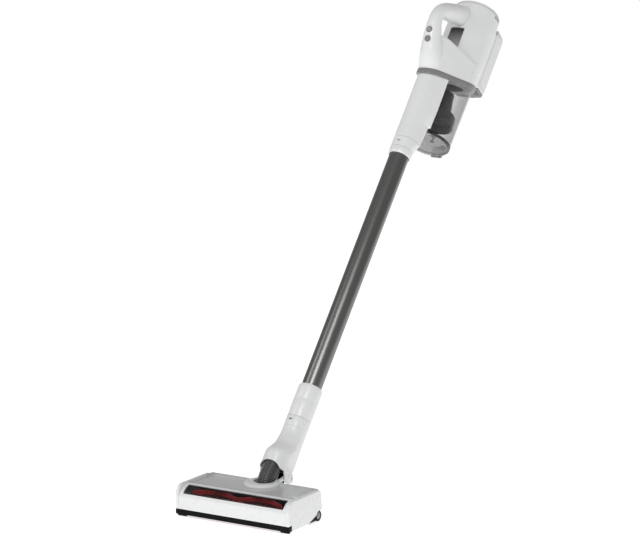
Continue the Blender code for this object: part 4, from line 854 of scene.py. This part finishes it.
def makeBody():
    slope, ring, seam = unit["slope"], unit["ringLevel"], unit["seam"]
    lower = [(0.0, 0.0, 28.8), (0.0, 84.0, 54.9)]
    upper = [(0.0, -6.0, 28.6), (0.0, 84.0, 54.5)]
    rings = [band(lower, ring - 16.0, slope, turns=128), band(lower, ring - 3.0, slope, turns=128),
             band(upper, 990.0, 0.2, turns=128),
             band(upper, seam - 1.6, turns=128), band(upper, seam - 0.4, grow=-1.0, turns=128)]
    obj = rawObject("bodyShell", skin(rings), leaning)
    carve(obj, [("UNION", sweep(through(handleShape["path"], 6)))], leaning)
    even = obj.modifiers.new("even", "REMESH")
    even.mode = "VOXEL"
    even.voxel_size = handleShape["voxel"] * mm
    ease = obj.modifiers.new("ease", "SMOOTH")
    ease.factor = 0.5
    ease.iterations = handleShape["ease"]
    settle(obj)
    # a long rounded field stands slightly proud round the two buttons
    place = leaning @ buttonPlace(*buttonSpots["power"])
    back = place.inverted()
    reach = (Vector((0.0, *buttonSpots["power"])) - Vector((0.0, *buttonSpots["mode"]))).length
    lift = (place.to_3x3() @ Vector((0, 0, 1))).normalized()
    for vert in obj.data.vertices:
        spot = back @ vert.co
        if spot.z > -12.0:
            run = min(max(spot.y, -reach), 0.0)
            away = math.hypot(spot.x, spot.y - run)
            share = min(max((10.6 - away) / 1.6, 0.0), 1.0)
            vert.co += lift * (handleShape["raise"] * mm * share * share * (3 - 2 * share))
    low = ring + 0.3
    below = [(-90.0, low - 90.0 * slope), (190.0, low + 190.0 * slope), (190.0, 800.0), (-90.0, 800.0)]
    steps = [slab(below, -90.0, 90.0),
             well(53.8, seam - 0.2, 1300.0, unit["motorY"]),
             block((-80.0, 69.6, 900.0), (80.0, 200.0, 1200.0))]
    for spot in buttonSpots.values():
        pocket = eased([(0.0, -4.4), (7.05, -4.4), (7.05, 9.0), (0.0, 9.0)], 0.4, 3)
        steps.append(moved(spun(pocket, turns=64, closed=False), buttonPlace(*spot)))
    hollow = [band([(0.0, 0.0, 25.0), (0.0, 84.0, 51.0)], 940.0, slope), band([(0.0, 0.0, 25.0), (0.0, 84.0, 51.0)], 990.0, 0.2),
              band([(0.0, 16.0, 20.0), (0.0, 84.0, 50.0)], seam - 3.2), band([(0.0, 88.0, 38.0)],
                      seam - 3.0), band([(0.0, 88.0, 38.0)], seam + 6.0)]
    steps.append(skin(hollow))
    carve(obj, steps, leaning)
    obj.data.materials.clear()
    obj.data.materials.append(materials["white"])
    obj.data.shade_smooth()
    obj.data.set_sharp_from_angle(angle=math.radians(32))
    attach(obj, "hand_unit")
    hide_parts("body_shell")


def makeButtons():
    for name, word, body in (("power", "power_button", "power_key"), ("mode", "mode_button", "mode_key")):
        run = eased([(0.0, -2.4), (6.65, -2.4), (6.65, 1.15), (3.0, 0.85), (0.0, 0.8)], 0.7, 5)
        place = buttonPlace(*buttonSpots[name])
        addPiece(name + "Button", moved(spun(run, turns=72, closed=False), place), leaning, "button", body, [word])
    # open ring and stroke of a plain on-off mark
    mark = bmesh.new()
    steps = 40
    for k in range(steps + 1):
        turn = math.radians(125 + 290 * k / steps)
        for radius in (2.5, 3.25):
            mark.verts.new((radius * math.cos(turn), radius * math.sin(turn), 0.97))
    mark.verts.ensure_lookup_table()
    for k in range(steps):
        mark.faces.new([mark.verts[2 * k], mark.verts[2 * k + 1], mark.verts[2 * k + 3], mark.verts[2 * k + 2]])
    grown = bmesh.ops.extrude_face_region(mark, geom=list(mark.faces))["geom"]
    bmesh.ops.translate(mark, vec=(0, 0, 0.14), verts=[item for item in grown if isinstance(item, bmesh.types.BMVert)])
    bmesh.ops.recalc_face_normals(mark, faces=mark.faces)
    bar = block((-0.4, 0.6, 0.9), (0.4, 4.1, 1.16), 0.1)
    addPiece("powerMark", moved(merged(mark, bar), buttonPlace(*buttonSpots["power"])), leaning, "mark", "power_key")


def makeRearShell():
    half, seam, slope = 35.0, unit["seam"], unit["slope"]
    low = [(0.0, 84.0, 54.9), (-half + 13, 126.0, 13.0), (half - 13, 126.0, 13.0)]
    mid = [(0.0, 84.0, 54.5), (-half + 13, 126.0, 13.0), (half - 13, 126.0, 13.0)]
    bm = skin([band(low, unit["ringLevel"] + 0.3, slope, turns=128), band(mid, seam - 1.4, turns=128),
               band(mid, seam - 0.4, grow=-0.8, turns=128)])
    hollow = [band([(0.0, 84.0, 51.0)], 940.0, slope), band([(0.0, 84.0, 51.0)], seam - 3.2), band([(0.0, 88.0, 38.0)], seam - 3.0),
              band([(0.0, 88.0, 38.0)], seam + 6.0)]
    steps = [("UNION", block((-half, 100.0, 1010.0), (half, 150.0, 1146.0), 2.0)),
             well(53.5, seam - 0.2, 1300.0, unit["motorY"]),
             block((-80.0, -50.0, 900.0), (80.0, 69.9, 1200.0)),
             block((-80.0, 139.4, 900.0), (80.0, 220.0, 1200.0)), skin(hollow)]
    addPiece("rearShell", bm, leaning, "white", "hand_unit", ["rear_shell"], steps, bevel=0.3, angle=40)


lattice = {"columns": 44, "rows": 13.2, "groove": 0.32, "width": 0.07}


def makeMotorHousing():
    centre, seam, top = unit["motorY"], unit["seam"], unit["housingTop"]
    rings, turns = [], 288
    levels = [seam, seam + 0.35] + [seam + 0.35 + (top - seam - 0.8) * k / 88 for k in range(1, 89)] + [top]
    for level in levels:
        taper = max(level - 1120.0, 0.0) / 40.0
        radius = 53.0 - 1.7 * taper
        edge = min(level - seam, top - level)
        ring = []
        for k in range(turns):
            turn = 2 * math.pi * k / turns
            across, along = turn * lattice["columns"] / (2 * math.pi), (level - seam) / lattice["rows"]
            near = min(abs((across + along + 0.5) % 1 - 0.5), abs((across - along + 0.5) % 1 - 0.5))
            depth = max(1 - near / lattice["width"], 0.0) * min(max((edge - 3.0) / 2.0, 0.0), 1.0) * lattice["groove"]
            size = radius - depth - (0.35 if edge < 0.1 else 0.0)
            ring.append(Vector((size * math.cos(turn), centre + size * math.sin(turn), level)))
        rings.append(ring)
    for level, radius in ((top, 48.9), (1120.0, 50.6), (seam, 50.6)):
        rings.append([Vector((radius * math.cos(2 * math.pi * k / turns), centre + radius * math.sin(2 * math.pi * k / turns),
                              level)) for k in range(turns)])
    steps = []
    for side in (-1, 1):
        low, high = sorted((side * 30.0, side * 60.0))
        for k in range(3):
            start = centre - 8.0 + k * 7.6
            steps.append(block((low, start, 1151.6), (high, start + 6.4, 1158.2), 0.7))
    addPiece("motorHousing", skin(rings, joined=True), leaning, "lattice", "hand_unit", ["motor_housing"], steps,
             angle=38)
    dome = through([(51.3, 0.0), (51.2, 1.2), (50.7, 2.8), (48.6, 5.4), (44.0, 7.6), (36.0, 8.9), (24.0, 9.5), (10.0, 9.7),
                    (0.0, 9.7)], 5)
    under = [(0.0, 7.3), (10.0, 7.3), (35.0, 6.6), (43.0, 5.3), (47.0, 3.4), (48.4, 0.0)]
    run = []
    for point in dome:
        ripple = 0.35 if 20 < point.x < 42 and (point.x - 20) % 4.4 < 1.1 else 0.0
        run.append((point.x, top + 0.3 + point.y - ripple))
    run += [(radius, top + 0.3 + level) for radius, level in under]
    addPiece("exhaustCap", spun(run, (0.0, centre, 0.0), turns=144, closed=False), leaning, "white", "end_cap",
             ["exhaust_cap"], angle=40)
    spread, steps = math.radians(17.0), 28
    turns = [-math.pi / 2 - spread + 2 * spread * i / steps for i in range(steps + 1)]
    section = [(53.25 * math.cos(t), centre + 53.25 * math.sin(t)) for t in turns] + [(54.4 * math.cos(t),
            centre + 54.4 * math.sin(t)) for t in turns[::-1]]
    addPiece("gripPanel", slab(section, seam + 0.5, 1092.0, "Z"), leaning, "grip", "hand_unit", ["grip_panel"],
             bevel=0.4, angle=50)


def barrel(x0, x1, radius):
    return spun([(x0, 0.0), (x0, radius), (x1, radius), (x1, 0.0)], (0.0, *unit["hinge"]), "X", 40, False)


def makeBin():
    centre, slope = unit["binY"], unit["slope"]
    under = unit["ringLevel"] - 12.3
    outer = [band([(0.0, centre, 49.4)], 833.7, turns=144), band([(0.0, centre, 49.8)], 840.0, 0.0, turns=144),
             band([(0.0, centre, 51.3)], under, slope, turns=144)]
    inner = [band([(0.0, centre, 49.3)], under, slope, turns=144), band([(0.0, centre, 47.4)], 833.7, turns=144)]
    addPiece("dustBin", skin(outer + inner, joined=True), leaning, "clear", "hand_unit", ["dust_bin"], angle=40)
    cup = eased([(0.0, 827.3), (40.0, 827.3), (40.6, 828.0), (43.0, 828.0), (43.6, 827.3), (48.6, 827.3), (49.9, 828.4),
                 (50.0, 833.4), (47.0, 833.4),
                 (46.8, 829.7), (0.0, 829.7)], 0.5, 3)
    hingeY, hingeZ = unit["hinge"]
    lid = spun(cup, (0.0, centre, 0.0), turns=144, closed=False)
    steps = [("UNION", block((-6.0, 129.0, hingeZ - 2.6), (6.0, hingeY, hingeZ + 2.2))), ("UNION", barrel(-6.0, 6.0, 3.0)),
             barrel(-20.0, 20.0, 1.5)]
    addPiece("binLid", lid, leaning, "tinted", "bin_door", ["bin_lid"], steps, angle=40)
    rim = spun(eased([(46.9, 829.9), (47.3, 833.2), (45.2, 833.2), (44.4, 829.9)], 0.5, 3, True), (0.0, centre, 0.0), turns=120)
    addPiece("lidSeal", rim, leaning, "rubber", "bin_door")
    stem = spun(eased([(0.0, 829.9), (4.6, 829.9), (4.6, 831.6), (2.0, 832.4), (2.0, 842.0), (4.0, 843.0), (6.0, 843.2),
                       (6.0, 845.4), (0.0, 845.4)], 0.4, 3),
                (14.0, 76.0, 0.0), turns=40, closed=False)
    wing = block((6.0, 74.4, 843.3), (22.0, 77.6, 845.3), 0.5)
    addPiece("lidClip", merged(stem, wing), leaning, "black", "bin_door")
    boss = spun(eased([(0.0, 829.9), (7.0, 829.9), (7.0, 833.0), (5.2, 834.0), (5.2, 831.5), (0.0, 831.5)], 0.4, 3),
                (30.0, 100.0, 0.0), turns=48, closed=False)
    addPiece("lidBoss", boss, leaning, "dark", "bin_door")
    run = [(20.4, 954.0), (20.6, 946.0), (24.2, 924.0), (26.5, 913.0), (29.0, 909.6), (37.3, 903.5), (39.4, 901.4), (40.2, 898.0),
           (40.9, 877.0),
           (39.0, 877.0), (38.4, 897.6), (36.0, 901.4), (24.6, 911.0), (18.4, 954.0)]
    addPiece("cycloneTube", spun(eased(run, 1.6, 4, True), (0.0, centre, 0.0), turns=128), leaning, "dark", "hand_unit",
             ["cyclone_tube"], angle=50)
    # black band round the lid join: the lid's dark side wall, with painted shade for the shadow gap at the join
    edge = spun(eased([(49.6, 832.0), (50.35, 832.0), (50.35, 834.0), (49.6, 834.0)], 0.3, 3, True), (0.0, centre, 0.0), turns=144)
    addPiece("lidWallAndShade", edge, leaning, "black", "bin_door",
             steps=[block((-14.0, 24.0, 825.0), (14.0, 40.0, 840.0))], angle=50)


def makeBattery():
    half, front, back, top = 35.0, 139.9, 180.8, 1160.0

    def corners(inset=0.0):
        return [(-half + 13, back - 13, 13 - inset), (half - 13, back - 13, 13 - inset),
                (-half + 3, front + 3, 3 - min(inset, 2.8)),
                (half - 3, front + 3, 3 - min(inset, 2.8))]
    run = through([(0.0, 1144.0), (0.3, 1149.0), (1.8, 1155.0), (3.4, 1158.2), (5.6, 1160.0)], 4)
    rings = [band(corners(0.4), 1022.0, turns=144),
             band(corners(), 1022.5, turns=144)] + [band(corners(inset), level, turns=144) for inset, level in run]
    steps = [well(54.4, 980.0, 1190.0, unit["motorY"]),
             block((-half + 2.4, front + 4.6, 1015.0), (half - 2.4, back - 4.0, 1155.5))]
    addPiece("batteryCase", skin(rings), leaning, "white", "battery", ["battery_case"], steps, bevel=0.25, angle=40)
    skirt = [band(corners(inset), level, turns=144) for inset,
             level in ((2.0, 1012.6), (1.6, 1013.0), (1.0, 1021.0), (1.4, 1021.6))]
    addPiece("batterySkirt", skin(skirt), leaning, "white", "battery",
             steps=[block((-12.3, 156.0, 1004.0), (12.3, 190.0, 1018.3))], bevel=0.2, angle=40)
    foot = [band(corners(inset), level, turns=144) for inset, level in ((4.0, 1008.6), (2.6, 1009.4), (1.8, 1011.6), (1.9, 1012.3))]
    steps = [block((-12.3, 156.0, 1004.0), (12.3, 190.0, 1018.3))]
    for k in range(5):
        start = 142.6 + 5.4 * k
        reach = 28.0 if k > 2 else 29.0
        steps += [block((-reach, start, 1007.0), (-14.0, start + 2.6, 1009.8)),
                  block((14.0, start, 1007.0), (reach, start + 2.6, 1009.8))]
    addPiece("batteryFoot", skin(foot), leaning, "trim", "battery", ["battery_foot"], steps, bevel=0.2, angle=40)


makeTubeHousing()
makeTrimRing()
makeBody()
makeButtons()
makeRearShell()
makeMotorHousing()
makeBin()
makeBattery()
chevron("wandMark", 24.35, 768.0, 0.0, 7.5, "hand_unit")
for name, finish, bevel in (("wand_release", "button", 0.6), ("suction_motor", "steel", 0.4), ("exhaust_filter", "foam", 0.0),
                            ("main_board", "board", 0.2),
                            ("hinge_bracket", "tinted", 0.3), ("lid_pin", "steel", 0.0), ("lid_latch", "black",
                                    0.4), ("mesh_filter", "mesh", 0.0),
                            ("fan_impeller", "alloy", 0.3), ("battery_cell_1", "cell", 0.4), ("battery_cell_2", "cell",
                                    0.4), ("battery_cell_3", "cell", 0.4),
                            ("battery_release", "button", 0.6)):
    dressNode(name, finish, bevel)
print("hand unit ready")


# floor, light and camera

studio = {"floorSize": 80.0, "floorColour": (0.94, 0.94, 0.94), "floorGlow": 0.66, "world": 0.36,
          "key": {"at": (1.5, -3.3, 4.2), "size": 2.2, "power": 84.0}, "fill": {"at": (-2.8, -2.4, 3.4), "size": 1.6,
                  "power": 22.0},
          "streak": {"at": (-0.6, -5.0, 2.4), "size": 0.9, "power": 8.0},
          "camera": (2.7992, -4.3969, 1.4864), "down": 10.86, "turn": 31.12, "lens": 156.2}


def makeStudio():
    bm = bmesh.new()
    bmesh.ops.create_grid(bm, x_segments=1, y_segments=1, size=studio["floorSize"] / 2)
    floor = rawObject("floor", bm, Matrix.Translation((0.0, 0.0, -0.0002)))
    mat = bpy.data.materials.new("paleFloor")
    mat.use_nodes = True
    shader = mat.node_tree.nodes["Principled BSDF"]
    shader.inputs["Base Color"].default_value = (*studio["floorColour"], 1.0)
    shader.inputs["Roughness"].default_value = 0.7
    shader.inputs["Specular IOR Level"].default_value = 0.2
    shader.inputs["Emission Color"].default_value = (1.0, 1.0, 1.0, 1.0)
    shader.inputs["Emission Strength"].default_value = studio["floorGlow"]
    floor.data.materials.append(mat)
    world = bpy.data.worlds.new("softRoom")
    bpy.context.scene.world = world
    world.use_nodes = True
    world.node_tree.nodes["Background"].inputs["Color"].default_value = (1.0, 1.0, 1.0, 1.0)
    world.node_tree.nodes["Background"].inputs["Strength"].default_value = studio["world"]
    aim = Vector((0.0, 0.30, 0.45))
    for name in ("key", "fill", "streak"):
        lamp = bpy.data.lights.new(name, "AREA")
        lamp.energy = studio[name]["power"]
        lamp.size = studio[name]["size"]
        obj = bpy.data.objects.new(name, lamp)
        bpy.context.scene.collection.objects.link(obj)
        obj.location = studio[name]["at"]
        obj.rotation_euler = (aim - obj.location).to_track_quat("-Z", "Y").to_euler()
    bpy.context.scene.view_settings.view_transform = "Standard"
    view = bpy.data.cameras.new("view")
    view.lens = studio["lens"]
    view.sensor_width = 36.0
    camera = bpy.data.objects.new("view", view)
    bpy.context.scene.collection.objects.link(camera)
    camera.location = studio["camera"]
    camera.rotation_euler = (math.radians(90.0 - studio["down"]), 0.0, math.radians(studio["turn"]))
    bpy.context.scene.camera = camera


makeStudio()
print("studio ready")
